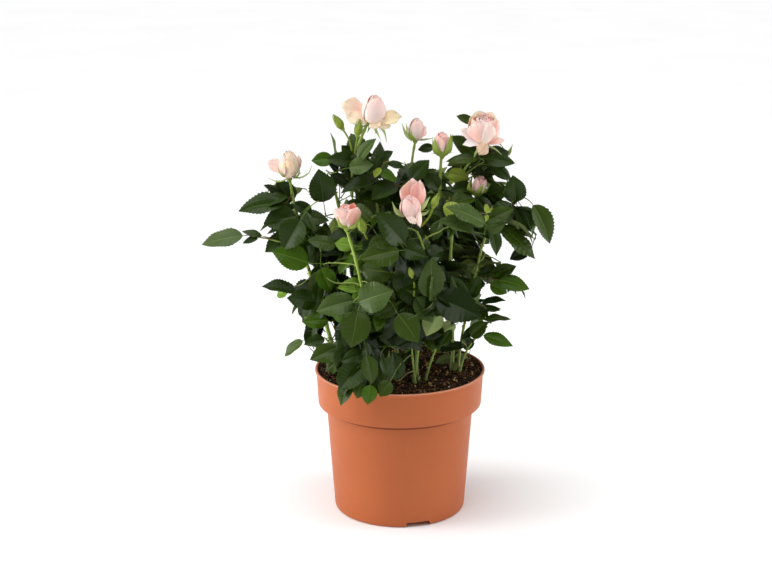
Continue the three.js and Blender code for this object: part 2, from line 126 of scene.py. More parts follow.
LEADS = [   # tone, side pairs, base, tip, width, tilt away from the front in degrees
    ("grey_sheen", 0, (-171, -7, 315), (-216, -7, 305), 25, 43),
    ("mid", 0, (-151, 0, 313), (-173, 0, 318), 12, 51),
    ("dark", 0, (-155, -5, 312), (-172, -5, 306), 10, 47),
    ("dark", 1, (-125, -19, 354), (-174, -19, 345), 27, 40),
    ("dark", 1, (-112, -20, 340), (-147, -26, 333), 27, 14),
    ("dark", 0, (-106, -47, 342), (-124, -53, 311), 29, 14),
    ("green", 0, (-98, -52, 296), (-136, -56, 310), 27, 14),
    ("dark", 1, (-119, 8, 349), (-135, 8, 373), 23, 14),
    ("deep", 0, (-129, -1, 358), (-148, -1, 370), 12, 43),
    ("mid", 1, (-111, 7, 333), (-78, 1, 330), 19, 28),
    ("dark", 0, (-97, 5, 338), (-119, 5, 349), 14, 14),
    ("dark", 1, (-83, -9, 353), (-88, -9, 389), 29, 8),
    ("deep", 0, (-75, -5, 382), (-57, -5, 372), 12, 14),
    ("dark", 1, (-52, -2, 396), (-79, -6, 400), 16, 14),
    ("green", 0, (-73, 3, 398), (-96, 3, 396), 16, 14),
    ("dark", 0, (-53, 19, 397), (-64, 19, 410), 12, 14),
    ("grey_sheen", 1, (-45, -13, 399), (-26, -13, 423), 17, 44),
    ("grey_sheen", 0, (-55, -16, 392), (-29, -20, 396), 18, 14),
    ("dark", 1, (-20, -5, 372), (-64, -11, 363), 25, 55),
    ("dark", 0, (-9, -9, 352), (-46, -15, 359), 21, 51),
    ("grey_sheen", 0, (-70, -23, 307), (-100, -27, 315), 17, 27),
    ("green", 0, (-85, -39, 287), (-75, -45, 262), 22, 8),
    ("dark", 0, (-88, -46, 275), (-91, -50, 249), 14, 23),
    ("grey_sheen", 1, (-49, -77, 262), (-89, -85, 252), 25, 14),
    ("dark", 1, (-114, -20, 255), (-151, -20, 261), 21, 50),
    ("dark", 0, (-91, -38, 249), (-122, -44, 255), 23, 14),
    ("green", 0, (-78, -48, 231), (-106, -52, 231), 17, 14),
    ("mid", 0, (-45, -96, 256), (-52, -110, 220), 32, 8),
    ("grey_sheen", 0, (-44, -91, 264), (-8, -101, 279), 32, 8),
    ("mid", 1, (-67, -80, 210), (-96, -86, 199), 20, 14),
    ("dark", 0, (-81, -67, 216), (-103, -71, 211), 13, 20),
    ("dark", 0, (-99, -59, 206), (-103, -59, 223), 10, 37),
    ("grey_sheen", 0, (-105, -54, 210), (-125, -54, 192), 15, 48),
    ("mid", 0, (-64, -74, 198), (-80, -78, 183), 12, 29),
    ("dark", 0, (-37, -93, 208), (-63, -99, 201), 17, 14),
    ("dark", 1, (-44, -103, 198), (-64, -111, 174), 26, 8),
    ("mid", 0, (-41, -109, 181), (-46, -113, 165), 14, 8),
    ("green", 0, (-32, -110, 179), (-35, -114, 159), 16, 8),
    ("mid", 0, (-11, -103, 181), (-22, -107, 165), 16, 8),
    ("mid", 0, (-36, -104, 210), (-30, -108, 180), 18, 14),
    ("dark", 0, (-21, -96, 205), (-16, -98, 185), 12, 41),
    ("dark", 0, (-5, -81, 175), (-8, -79, 206), 20, 14),
    ("dark", 1, (3, -88, 327), (-26, -94, 361), 27, 14),
    ("mid", 1, (-2, -96, 321), (-42, -106, 314), 28, 14),
    ("dark", 0, (-2, -84, 322), (27, -92, 313), 19, 14),
    ("mid", 1, (30, -97, 271), (32, -103, 315), 27, 14),
    ("deep", 1, (38, -96, 270), (83, -106, 252), 36, 14),
    ("grey_sheen", 0, (16, -86, 268), (33, -92, 242), 20, 14),
    ("mid", 0, (-3, -101, 254), (18, -109, 226), 27, 14),
    ("mid", 0, (-3, -84, 260), (-28, -90, 248), 19, 14),
    ("grey_sheen", 0, (41, -87, 252), (27, -91, 227), 23, 155),
    ("grey_sheen", 0, (59, -67, 232), (33, -69, 218), 17, 155),
    ("green", 0, (91, -28, 208), (123, -32, 197), 19, 42),
    ("mid", 0, (77, -26, 206), (95, -30, 224), 17, 14),
    ("dark", 0, (86, -16, 213), (69, -16, 200), 11, 30),
    ("mid", 0, (91, -22, 224), (121, -24, 225), 17, 63),
    ("dark", 0, (88, -12, 232), (110, -14, 232), 12, 51),
    ("dark", 1, (90, -1, 235), (117, -3, 240), 15, 60),
    ("green", 1, (107, -26, 270), (140, -30, 261), 19, 28),
    ("mid", 0, (100, -17, 271), (126, -19, 284), 17, 14),
    ("dark", 0, (106, -9, 279), (84, -11, 271), 13, 21),
    ("green", 0, (98, -23, 265), (116, -25, 255), 16, 14),
    ("mid", 1, (108, -25, 330), (145, -29, 295), 28, 49),
    ("mid", 0, (142, -23, 353), (161, -25, 311), 25, 38),
    ("dark", 0, (126, -17, 350), (141, -19, 323), 18, 14),
    ("deep", 0, (140, -17, 302), (119, -17, 291), 14, 14),
    ("dark", 0, (94, -44, 335), (102, -48, 303), 18, 44),
    ("grey_sheen", 1, (89, -61, 341), (47, -69, 361), 26, 47),
    ("grey_sheen", 0, (77, -63, 333), (38, -71, 346), 23, 45),
    ("mid", 1, (93, -52, 343), (119, -56, 356), 17, 14),
    ("dark", 1, (124, -19, 355), (120, -21, 385), 24, 8),
    ("dark", 1, (90, -6, 400), (123, -6, 395), 19, 34),
    ("dark", 0, (97, -4, 392), (120, -4, 376), 15, 30),
    ("dark", 1, (84, 8, 400), (54, 8, 422), 21, 32),
    ("mid", 0, (84, -12, 401), (49, -12, 398), 20, 60),
    ("young", 1, (52, 14, 380), (75, 12, 374), 16, 14),
    ("green", 1, (94, 13, 356), (119, 9, 364), 21, 8),
    ("mid", 0, (79, 20, 435), (61, 20, 442), 10, 16),
    ("dark", 0, (36, 8, 410), (19, 8, 407), 10, 14),
    ("dark", 0, (11, -13, 379), (31, -13, 400), 19, 14),
    ("dark", 0, (41, -10, 368), (25, -10, 385), 17, 14),
    ("deep", 0, (-16, -2, 337), (0, -2, 367), 18, 34),
    ("grey_sheen", 0, (42, -41, 339), (35, -43, 318), 14, 14),
    ("green", 0, (-23, -14, 389), (-4, -16, 377), 13, 39),
    ("young", 0, (-21, -17, 392), (-28, -19, 382), 7, 24),
    ("dark", 0, (-28, -12, 388), (-22, -14, 420), 18, 37),
    ("dark", 0, (-22, -11, 400), (-8, -11, 409), 10, 14),
    ("dark", 0, (-14, -6, 394), (5, -6, 389), 11, 46),
    ("dark", 0, (73, -6, 190), (42, -6, 184), 17, 51),
    ("olive", 0, (45, -6, 182), (27, -6, 190), 11, 36),
    ("grey_sheen", 0, (59, 8, 172), (40, 8, 164), 11, 155),
    ("grey_sheen", 0, (62, 11, 172), (77, 11, 168), 8, 155),
    ("mid", 0, (2, -35, 191), (-3, -37, 169), 14, 14),
    ("dark", 0, (19, -27, 191), (5, -27, 177), 11, 14),
    ("dark", 0, (66, -82, 263), (53, -86, 291), 18, 14),
    ("deep", 0, (50, -72, 264), (45, -72, 294), 17, 31),
    ("dark", 0, (74, -69, 263), (84, -71, 287), 16, 14),
    ("mid", 0, (43, -66, 209), (55, -66, 226), 14, 14),
    ("deep", 0, (28, -75, 212), (45, -75, 223), 15, 14),
    ("deep", 0, (-5, -89, 215), (13, -89, 225), 16, 14),
    ("dark", 0, (78, -4, 184), (69, -4, 202), 14, 14),
    ("dark", 1, (64, -2, 340), (80, -4, 357), 16, 14),
]
OPENINGS = [   # where daylight shows from the front: x, z on the plane y = 0, half width, half height
    (-87, 348, 9, 11),
    (-57, 360, 4, 7),
    (-113, 347, 4, 4),
    (118, 295, 13, 13),
    (65, 201, 6, 10),
    (-79, 202, 4, 13),
    (94, 249, 6, 4),
    (-58, 270, 3, 4),
    (-75, 348, 4, 9),
    (-110, 284, 3, 9),
    (-122, 275, 18, 6),
    (-137, 284, 13, 11),
    (-111, 196, 4, 4),
    (-165, 284, 28, 15),
    (109, 303, 4, 7),
    (53, 284, 3, 4),
    (67, 329, 3, 3),
    (-17, 380, 3, 6),
    (39, 392, 4, 9),
    (46, 426, 7, 7),
    (2, 408, 6, 9),
    (74, 188, 4, 13),
    (-171, 364, 15, 13),
    (-174, 340, 7, 7),
    (-164, 333, 10, 6),
    (-197, 329, 26, 6),
    (-120, 264, 15, 7),
    (-142, 226, 18, 12),
    (-131, 206, 15, 13),
    (-111, 204, 6, 4),
    (-108, 161, 10, 13),
    (-12, 415, 11, 7),
    (-3, 397, 8, 8),
    (-104, 400, 9, 9),
    (-103, 378, 6, 10),
    (-85, 382, 11, 3),
    (59, 416, 4, 7),
    (60, 436, 6, 9),
    (132, 384, 11, 11),
    (152, 361, 10, 13),
    (172, 329, 6, 22),
    (159, 292, 11, 13),
    (141, 271, 10, 9),
    (152, 252, 13, 13),
    (128, 234, 12, 11),
    (111, 211, 15, 4),
    (133, 211, 11, 15),
    (112, 175, 20, 9),
    (92, 180, 11, 7),
    (21, 411, 4, 6),
    (-54, 419, 7, 7),
    (29, 401, 4, 4),
]
missing = [n for n, *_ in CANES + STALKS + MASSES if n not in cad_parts]
if missing:
    raise SystemExit(f"the packed part has no {missing}")


# ---------------------------------------------------------------- small helpers
def unit(v):
    v = np.asarray(v, float)
    return v / np.maximum(np.linalg.norm(v, axis=-1, keepdims=True), 1e-12)


def across(v, n):
    """v without its part along n, unit length."""
    v = np.asarray(v, float)
    n = unit(n)
    return unit(v - (v * n).sum(-1, keepdims=True) * n)


def turned(v, axis, angle):
    """v turned about a unit axis."""
    v, axis = np.asarray(v, float), unit(axis)
    c, s = math.cos(angle), math.sin(angle)
    return v * c + np.cross(axis, v) * s + axis * np.dot(axis, v) * (1 - c)


def smooth01(a, b, x):
    t = np.clip((x - a) / (b - a), 0, 1)
    return t * t * (3 - 2 * t)


def spline(points, step=2.0):
    """Points every step along a centripetal Catmull-Rom curve through the way points."""
    p = np.asarray(points, float)
    if len(p) == 2:
        k = max(2, int(np.linalg.norm(p[1] - p[0]) / step) + 1)
        return p[0] + (p[1] - p[0]) * np.linspace(0, 1, k)[:, None]
    p = np.vstack([2 * p[0] - p[1], p, 2 * p[-1] - p[-2]])
    out = []
    for i in range(1, len(p) - 2):
        a, b, c, d = p[i - 1], p[i], p[i + 1], p[i + 2]
        t1 = np.linalg.norm(b - a) ** 0.5
        t2 = t1 + np.linalg.norm(c - b) ** 0.5
        t3 = t2 + np.linalg.norm(d - c) ** 0.5
        t = np.linspace(t1, t2, 24, endpoint=False)[:, None]
        a1 = a * (t1 - t) / t1 + b * t / t1
        a2 = b * (t2 - t) / (t2 - t1) + c * (t - t1) / (t2 - t1)
        a3 = c * (t3 - t) / (t3 - t2) + d * (t - t2) / (t3 - t2)
        b1 = a1 * (t2 - t) / t2 + a2 * t / t2
        b2 = a2 * (t3 - t) / (t3 - t1) + a3 * (t - t1) / (t3 - t1)
        out.append(b1 * (t2 - t) / (t2 - t1) + b2 * (t - t1) / (t2 - t1))
    q = np.vstack(out + [p[-2:-1]])
    s = np.r_[0, np.cumsum(np.linalg.norm(np.diff(q, axis=0), axis=1))]
    k = max(3, int(round(s[-1] / step)) + 1)
    u = np.linspace(0, s[-1], k)
    return np.stack([np.interp(u, s, q[:, j]) for j in range(3)], 1)


def bezier(a, b, c, d, k):
    t = np.linspace(0, 1, k)[:, None]
    return a * (1 - t) ** 3 + 3 * b * t * (1 - t) ** 2 + 3 * c * t * t * (1 - t) + d * t ** 3


def frames_along(path):
    """Tangent, side and third axis at each point, turned as little as possible on the way."""
    p = np.asarray(path, float)
    t = unit(np.gradient(p, axis=0))
    n = across(np.array([0.31, 0.92, 0.17]) if abs(t[0][1]) < 0.9 else np.array([1.0, 0, 0]), t[0])
    ns = [n]
    for i in range(1, len(p)):
        n = across(ns[-1], t[i])
        ns.append(n)
    ns = np.array(ns)
    return t, ns, np.cross(t, ns)


class Pile:
    """Collects faces for one joined mesh."""

    def __init__(self):
        self.v, self.t, self.q, self.mt, self.mq, self.n = [], [], [], [], [], 0
        self.a = {}

    def add(self, verts, tris=None, quads=None, mt=0, mq=0, **attrs):
        verts = np.asarray(verts, float).reshape(-1, 3)
        for k, val in attrs.items():
            self.a.setdefault(k, []).append((self.n, np.broadcast_to(np.asarray(val, float), (len(verts),) + np.shape(val)[1:] if np.ndim(val) else (len(verts),)).copy()))
        self.v.append(verts)
        if tris is not None and len(tris):
            tris = np.asarray(tris, np.int64)
            self.t.append(tris + self.n)
            self.mt.append(np.broadcast_to(np.asarray(mt), (len(tris),)).copy())
        if quads is not None and len(quads):
            quads = np.asarray(quads, np.int64)
            self.q.append(quads + self.n)
            self.mq.append(np.broadcast_to(np.asarray(mq), (len(quads),)).copy())
        self.n += len(verts)

    def triangles(self):
        return sum(len(t) for t in self.t) + 2 * sum(len(q) for q in self.q)

    def mesh(self, name, materials, slot=None, stands_for=(), sharp=55.0):
        v = np.vstack(self.v) * 0.001
        t = np.vstack(self.t) if self.t else np.zeros((0, 3), np.int64)
        q = np.vstack(self.q) if self.q else np.zeros((0, 4), np.int64)
        mi = np.concatenate(self.mt + self.mq).astype(np.int64)
        used = np.unique(mi)
        slots = {int(k): i for i, k in enumerate(used)}
        lut = np.zeros(int(used.max()) + 1, np.int32)
        for k, i in slots.items():
            lut[k] = i
        mi = lut[mi]
        me = bpy.data.meshes.new(name)
        me.vertices.add(len(v))
        me.vertices.foreach_set("co", v.astype(np.float32).ravel())
        loops = np.concatenate([t.ravel(), q.ravel()]).astype(np.int32)
        me.loops.add(len(loops))
        me.loops.foreach_set("vertex_index", loops)
        me.polygons.add(len(t) + len(q))
        starts = np.concatenate([np.arange(len(t)) * 3, len(t) * 3 + np.arange(len(q)) * 4]).astype(np.int32)
        me.polygons.foreach_set("loop_start", starts)
        me.polygons.foreach_set("material_index", mi)
        me.polygons.foreach_set("use_smooth", np.ones(len(mi), bool))
        me.update(calc_edges=True)
        for k, parts in self.a.items():
            first = parts[0][1]
            if first.ndim == 1:
                at = me.attributes.new(k, "FLOAT", "POINT")
                out = np.zeros(len(v), np.float32)
                for s, val in parts:
                    out[s:s + len(val)] = val
                at.data.foreach_set("value", out)
            else:
                at = me.attributes.new(k, "FLOAT_COLOR", "POINT")
                out = np.ones((len(v), 4), np.float32)
                for s, val in parts:
                    out[s:s + len(val), :3] = val
                at.data.foreach_set("color", out.ravel())
        if sharp:
            me.set_sharp_from_angle(angle=math.radians(sharp))
        for k in used:
            me.materials.append(materials[int(k)])
        ob = bpy.data.objects.new(name, me)
        bpy.context.scene.collection.objects.link(ob)
        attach(ob, "root")
        if stands_for:
            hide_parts(*stands_for)
        return ob


def tube(pile, path, radius, sides=6, mat=0, bump=None, tip=True, foot=True, **attrs):
    """A closed tube along path with a radius at each point, into pile."""
    p = np.asarray(path, float)
    k = len(p)
    r = np.broadcast_to(np.asarray(radius, float), (k,))
    _, n, b = frames_along(p)
    a = np.arange(sides) / sides * 2 * math.pi
    rr = r[:, None] * np.ones(sides)
    if bump is not None:
        rr = rr + bump(np.linspace(0, 1, k)[:, None], a[None, :])
    v = p[:, None] + n[:, None] * (np.cos(a)[None, :, None] * rr[..., None]) + b[:, None] * (np.sin(a)[None, :, None] * rr[..., None])
    v = v.reshape(-1, 3)
    i = np.arange(k - 1)[:, None] * sides
    j = np.arange(sides)[None, :]
    j2 = (j + 1) % sides
    quads = np.stack([i + j, i + j2, i + sides + j2, i + sides + j], -1).reshape(-1, 4)
    extra, tris = [], []
    t0, t1 = unit(p[1] - p[0]), unit(p[-1] - p[-2])
    if foot:
        extra.append(p[0] - t0 * r[0] * 0.25)
        c = len(v) + len(extra) - 1
        tris += [(c, int(x2), int(x)) for x, x2 in zip(j[0], j2[0])]
    if tip:
        extra.append(p[-1] + t1 * r[-1] * 0.45)
        c = len(v) + len(extra) - 1
        o = (k - 1) * sides
        tris += [(c, o + int(x), o + int(x2)) for x, x2 in zip(j[0], j2[0])]
    if extra:
        v = np.vstack([v, extra])
    at = {}
    for key, val in attrs.items():
        val = np.asarray(val, float)
        if val.ndim == 0:
            at[key] = np.full(len(v), float(val))
        else:   # one value for each point of the path
            full = np.repeat(val, sides)
            ends = ([val[0]] if foot else []) + ([val[-1]] if tip else [])
            at[key] = np.concatenate([full, ends]) if ends else full
    pile.add(v, tris=tris, quads=quads, mt=mat, mq=mat, **at)


# ---------------------------------------------------------------- finishes
def srgb(r, g, b):
    return tuple(((c / 255) / 12.92 if c / 255 <= 0.04045 else ((c / 255 + 0.055) / 1.055) ** 2.4) for c in (r, g, b)) + (1.0,)


def shader(name):
    m = bpy.data.materials.new(name)
    m.use_nodes = True
    nt = m.node_tree
    return m, nt, nt.nodes["Principled BSDF"]


def plain(name, colour, rough, spec=0.5, coat=0.0, coat_rough=0.3, sheen=0.0, sss=0.0, sss_radius=(1.0, 1.0, 0.5), sss_scale=0.001):
    m, nt, p = shader(name)
    p.inputs["Base Color"].default_value = srgb(*colour)
    p.inputs["Roughness"].default_value = rough
    p.inputs["Specular IOR Level"].default_value = spec
    p.inputs["Coat Weight"].default_value = coat
    p.inputs["Coat Roughness"].default_value = coat_rough
    p.inputs["Sheen Weight"].default_value = sheen
    if sss:
        p.inputs["Subsurface Weight"].default_value = sss
        p.inputs["Subsurface Radius"].default_value = sss_radius
        p.inputs["Subsurface Scale"].default_value = sss_scale
    return m


def noise(nt, scale, detail=4.0, rough=0.55, vector=None):
    n = nt.nodes.new("ShaderNodeTexNoise")
    n.inputs["Scale"].default_value = scale
    n.inputs["Detail"].default_value = detail
    n.inputs["Roughness"].default_value = rough
    if vector is not None:
        nt.links.new(vector, n.inputs["Vector"])
    return n


def object_coords(nt):
    return nt.nodes.new("ShaderNodeTexCoord").outputs["Object"]


def ramp(nt, factor, stops):
    r = nt.nodes.new("ShaderNodeValToRGB")
    e = r.color_ramp.elements
    while len(e) < len(stops):
        e.new(0.5)
    for el, (pos, col) in zip(e, stops):
        el.position = pos
        el.color = srgb(*col)
    nt.links.new(factor, r.inputs["Fac"])
    return r.outputs["Color"]


def mix(nt, factor, a, b, kind="MIX"):
    m = nt.nodes.new("ShaderNodeMix")
    m.data_type = "RGBA"
    m.blend_type = kind
    for sock, val in ((m.inputs["Factor"], factor), (m.inputs["A"], a), (m.inputs["B"], b)):
        if hasattr(val, "is_output"):
            nt.links.new(val, sock)
        elif isinstance(val, (int, float)):
            sock.default_value = val
        else:
            sock.default_value = val
    return m.outputs["Result"]


def math_node(nt, op, a, b=None, c=None, clamp=False):
    m = nt.nodes.new("ShaderNodeMath")
    m.operation = op
    m.use_clamp = clamp
    for i, val in enumerate((a, b, c)):
        if val is None:
            continue
        if hasattr(val, "is_output"):
            nt.links.new(val, m.inputs[i])
        else:
            m.inputs[i].default_value = val
    return m.outputs[0]


def bump(nt, p, height, strength, distance):
    b = nt.nodes.new("ShaderNodeBump")
    b.inputs["Strength"].default_value = strength
    b.inputs["Distance"].default_value = distance
    nt.links.new(height, b.inputs["Height"])
    nt.links.new(b.outputs["Normal"], p.inputs["Normal"])


def attribute(nt, name):
    a = nt.nodes.new("ShaderNodeAttribute")
    a.attribute_type = "GEOMETRY"
    a.attribute_name = name
    return a


def pot_finish():
    m, nt, p = shader("pot_plastic_terracotta")
    co = object_coords(nt)
    broad = noise(nt, 9.0, 3.0, 0.5, co)
    fine = noise(nt, 420.0, 5.0, 0.6, co)
    body = ramp(nt, broad.outputs["Fac"], [(0.30, (172, 91, 49)), (0.72, (183, 99, 56))])
    # dust and scuffs: pale and thin
    scuff = noise(nt, 60.0, 8.0, 0.72, co)
    dust = math_node(nt, "MULTIPLY", math_node(nt, "SUBTRACT", scuff.outputs["Fac"], 0.60, clamp=True), 1.4, clamp=True)
    col = mix(nt, dust, body, srgb(198, 128, 90))
    # the moulded grain: tiny darker flecks
    fleck = math_node(nt, "GREATER_THAN", fine.outputs["Fac"], 0.70)
    col = mix(nt, math_node(nt, "MULTIPLY", fleck, 0.10), col, srgb(124, 58, 34))
    # painted shade: the dark line under the collar is a shadow painted into the colour
    col = mix(nt, math_node(nt, "MULTIPLY", attribute(nt, "painted_collar_shade").outputs["Fac"], 0.82, clamp=True), col, srgb(96, 38, 18))
    # painted highlight: the rim's top edge lightened
    col = mix(nt, math_node(nt, "MULTIPLY", attribute(nt, "painted_rim_highlight").outputs["Fac"], 0.55, clamp=True), col, srgb(242, 178, 148))
    nt.links.new(col, p.inputs["Base Color"])
    r = nt.nodes.new("ShaderNodeMapRange")
    r.inputs["From Min"].default_value, r.inputs["From Max"].default_value = 0.3, 0.75
    r.inputs["To Min"].default_value, r.inputs["To Max"].default_value = 0.40, 0.56
    nt.links.new(scuff.outputs["Fac"], r.inputs["Value"])
    nt.links.new(r.outputs["Result"], p.inputs["Roughness"])
    p.inputs["Specular IOR Level"].default_value = 0.2
    bump(nt, p, fine.outputs["Fac"], 0.10, 0.0004)
    return m


def soil_finish(name, stops, scale, grain):
    m, nt, p = shader(name)
    co = object_coords(nt)
    n1 = noise(nt, scale, 6.0, 0.65, co)
    n2 = noise(nt, scale * 5.3, 5.0, 0.7, co)
    f = math_node(nt, "ADD", math_node(nt, "MULTIPLY", n1.outputs["Fac"], 0.55), math_node(nt, "MULTIPLY", n2.outputs["Fac"], 0.45))
    nt.links.new(ramp(nt, f, stops), p.inputs["Base Color"])
    p.inputs["Roughness"].default_value = 0.92
    p.inputs["Specular IOR Level"].default_value = 0.25
    bump(nt, p, n2.outputs["Fac"], 0.7, grain)
    return m


def bark_finish():
    """Green rose bark: older and browner at the foot, fresh and yellow-green above, blushed
    red in streaks, with fine lengthwise lines."""
    m, nt, p = shader("cane_bark_green")
    age = attribute(nt, "age").outputs["Fac"]
    blush = attribute(nt, "blush").outputs["Fac"]
    co = object_coords(nt)
    stretch = nt.nodes.new("ShaderNodeMapping")
    stretch.inputs["Scale"].default_value = (1.0, 1.0, 0.12)
    nt.links.new(co, stretch.inputs["Vector"])
    lines = noise(nt, 900.0, 4.0, 0.6, stretch.outputs["Vector"])
    patch = noise(nt, 70.0, 4.0, 0.6, stretch.outputs["Vector"])
    base = ramp(nt, age, [(0.0, (150, 182, 72)), (0.35, (134, 168, 58)), (0.7, (104, 134, 50)), (1.0, (88, 84, 46))])
    col = mix(nt, math_node(nt, "MULTIPLY", math_node(nt, "SUBTRACT", patch.outputs["Fac"], 0.42, clamp=True), 1.6, clamp=True), base, srgb(170, 194, 92))
    red = math_node(nt, "MULTIPLY", math_node(nt, "MULTIPLY", blush, 0.8), math_node(nt, "ADD", patch.outputs["Fac"], 0.25), clamp=True)
    col = mix(nt, red, col, srgb(128, 66, 42))
    dark = math_node(nt, "MULTIPLY", math_node(nt, "SUBTRACT", 0.5, lines.outputs["Fac"], clamp=True), 1.3, clamp=True)
    col = mix(nt, dark, col, srgb(78, 98, 32))
    nt.links.new(col, p.inputs["Base Color"])
    p.inputs["Roughness"].default_value = 0.46
    p.inputs["Specular IOR Level"].default_value = 0.45
    bump(nt, p, lines.outputs["Fac"], 0.35, 0.0004)
    return m


def petal_finish():
    """Petal skin: the colour comes from each petal's own gradient, with fine veins and a soft glow."""
    m, nt, p = shader("petal_blush")
    tint = attribute(nt, "tint").outputs["Color"]
    co = object_coords(nt)
    veins = noise(nt, 330.0, 3.0, 0.55, co)
    cloud = noise(nt, 60.0, 3.0, 0.5, co)
    warm = mix(nt, math_node(nt, "MULTIPLY", math_node(nt, "SUBTRACT", cloud.outputs["Fac"], 0.45, clamp=True), 0.9, clamp=True), tint, srgb(252, 222, 206))
    fac = math_node(nt, "MULTIPLY", math_node(nt, "SUBTRACT", veins.outputs["Fac"], 0.5, clamp=True), 0.55, clamp=True)
    col = mix(nt, fac, warm, srgb(238, 172, 168))
    nt.links.new(col, p.inputs["Base Color"])
    p.inputs["Roughness"].default_value = 0.58
    p.inputs["Specular IOR Level"].default_value = 0.3
    p.inputs["Sheen Weight"].default_value = 0.25
    p.inputs["Sheen Roughness"].default_value = 0.4
    p.inputs["Subsurface Weight"].default_value = 0.35
    p.inputs["Subsurface Radius"].default_value = (1.0, 0.55, 0.42)
    p.inputs["Subsurface Scale"].default_value = 0.0022
    bump(nt, p, veins.outputs["Fac"], 0.12, 0.0003)
    return m


# Leaf tones: upper side, midrib and underside of each. They are dealt out by spray.
TONES = {
    "deep":  ((22, 37, 3), (44, 62, 14), (76, 92, 42)),
    "dark":  ((35, 54, 5), (60, 80, 20), (92, 108, 54)),
    "mid":   ((50, 68, 14), (78, 98, 34), (104, 120, 62)),
    # the grey tone: a greyer, lighter green, partly the leaves' own grey-green and partly a painted sheen of soft light
    # on the leaf
    "grey_sheen":  ((66, 85, 38), (98, 118, 60), (118, 134, 80)),
    "green": ((58, 88, 8), (94, 118, 32), (112, 132, 58)),
    "olive": ((76, 90, 20), (108, 120, 46), (116, 128, 62)),
    "fresh": ((96, 130, 30), (138, 162, 66), (130, 150, 72)),
    "young": ((130, 148, 50), (170, 180, 88), (140, 152, 80)),
    "red":   ((92, 84, 30), (130, 122, 52), (108, 104, 54)),
}
TONE_NAMES = list(TONES)


def leaf_finishes():
    out = []
    for name in TONE_NAMES:
        top, rib, under = TONES[name]
        out.append(plain(f"leaf_{name}_upper", top, 0.32, 0.18))
        out.append(plain(f"leaf_{name}_midrib", rib, 0.46, 0.2))
        out.append(plain(f"leaf_{name}_underside", under, 0.66, 0.16))
    out.append(plain("leaf_stalk_green", (76, 98, 34), 0.5, 0.25))
    out.append(plain("leaf_stalk_red", (98, 78, 42), 0.5, 0.3))
    out.append(plain("sepal_green", (136, 158, 66), 0.55, 0.25))
    out.append(plain("sepal_inside", (172, 192, 126), 0.65, 0.3))
    out.append(plain("bud_green", (122, 140, 46), 0.5, 0.22))
    out.append(plain("anther_gold", (206, 160, 70), 0.6, 0.3))
    return out


LEAF_MATS = leaf_finishes()
M_STALK, M_STALK_RED, M_SEPAL, M_SEPAL_IN, M_BUD, M_GOLD = (len(TONE_NAMES) * 3 + i for i in range(6))
POT_MAT, BARK_MAT, PETAL_MAT = pot_finish(), bark_finish(), petal_finish()

# ---------------------------------------------------------------- one leaflet, as a batch
ROWS = 26
TOP_S = np.array([-1, -0.72, -0.38, -9, 9, 0.38, 0.72, 1.0])     # 9 marks the edge of the midrib
LOW_S = np.array([-0.5, 0.0, 0.5])
NV = (ROWS - 1) * 11 + 2


def leaflet_faces():
    n, top, low = ROWS - 1, 8, 3
    base, tip = n * 11, n * 11 + 1

    def T(i, c):
        return i * 11 + c

    def B(i, c):    # underside columns: margin, three inner ones, margin
        return T(i, 0) if c == 0 else T(i, 7) if c == 4 else i * 11 + 8 + (c - 1)
    quads, mq, tris, mt = [], [], [], []
    for i in range(n - 1):
        for c in range(7):
            quads.append((T(i, c), T(i, c + 1), T(i + 1, c + 1), T(i + 1, c)))
            mq.append(1 if c == 3 else 0)
        for c in range(4):
            quads.append((B(i, c), B(i + 1, c), B(i + 1, c + 1), B(i, c + 1)))
            mq.append(2)
    for c in range(7):
        tris.append((base, T(0, c + 1), T(0, c)))
        mt.append(1 if c == 3 else 0)
        tris.append((T(n - 1, c), T(n - 1, c + 1), tip))
        mt.append(1 if c == 3 else 0)
    for c in range(4):
        tris.append((base, B(0, c), B(0, c + 1)))
        mt.append(2)
        tris.append((B(n - 1, c + 1), B(n - 1, c), tip))
        mt.append(2)
    return np.array(tris), np.array(mt), np.array(quads), np.array(mq)


LT, LMT, LQ, LMQ = leaflet_faces()
PEAK_A, PEAK_B = 0.62, 0.88
F_MAX = (PEAK_A / (PEAK_A + PEAK_B)) ** PEAK_A * (PEAK_B / (PEAK_A + PEAK_B)) ** PEAK_B


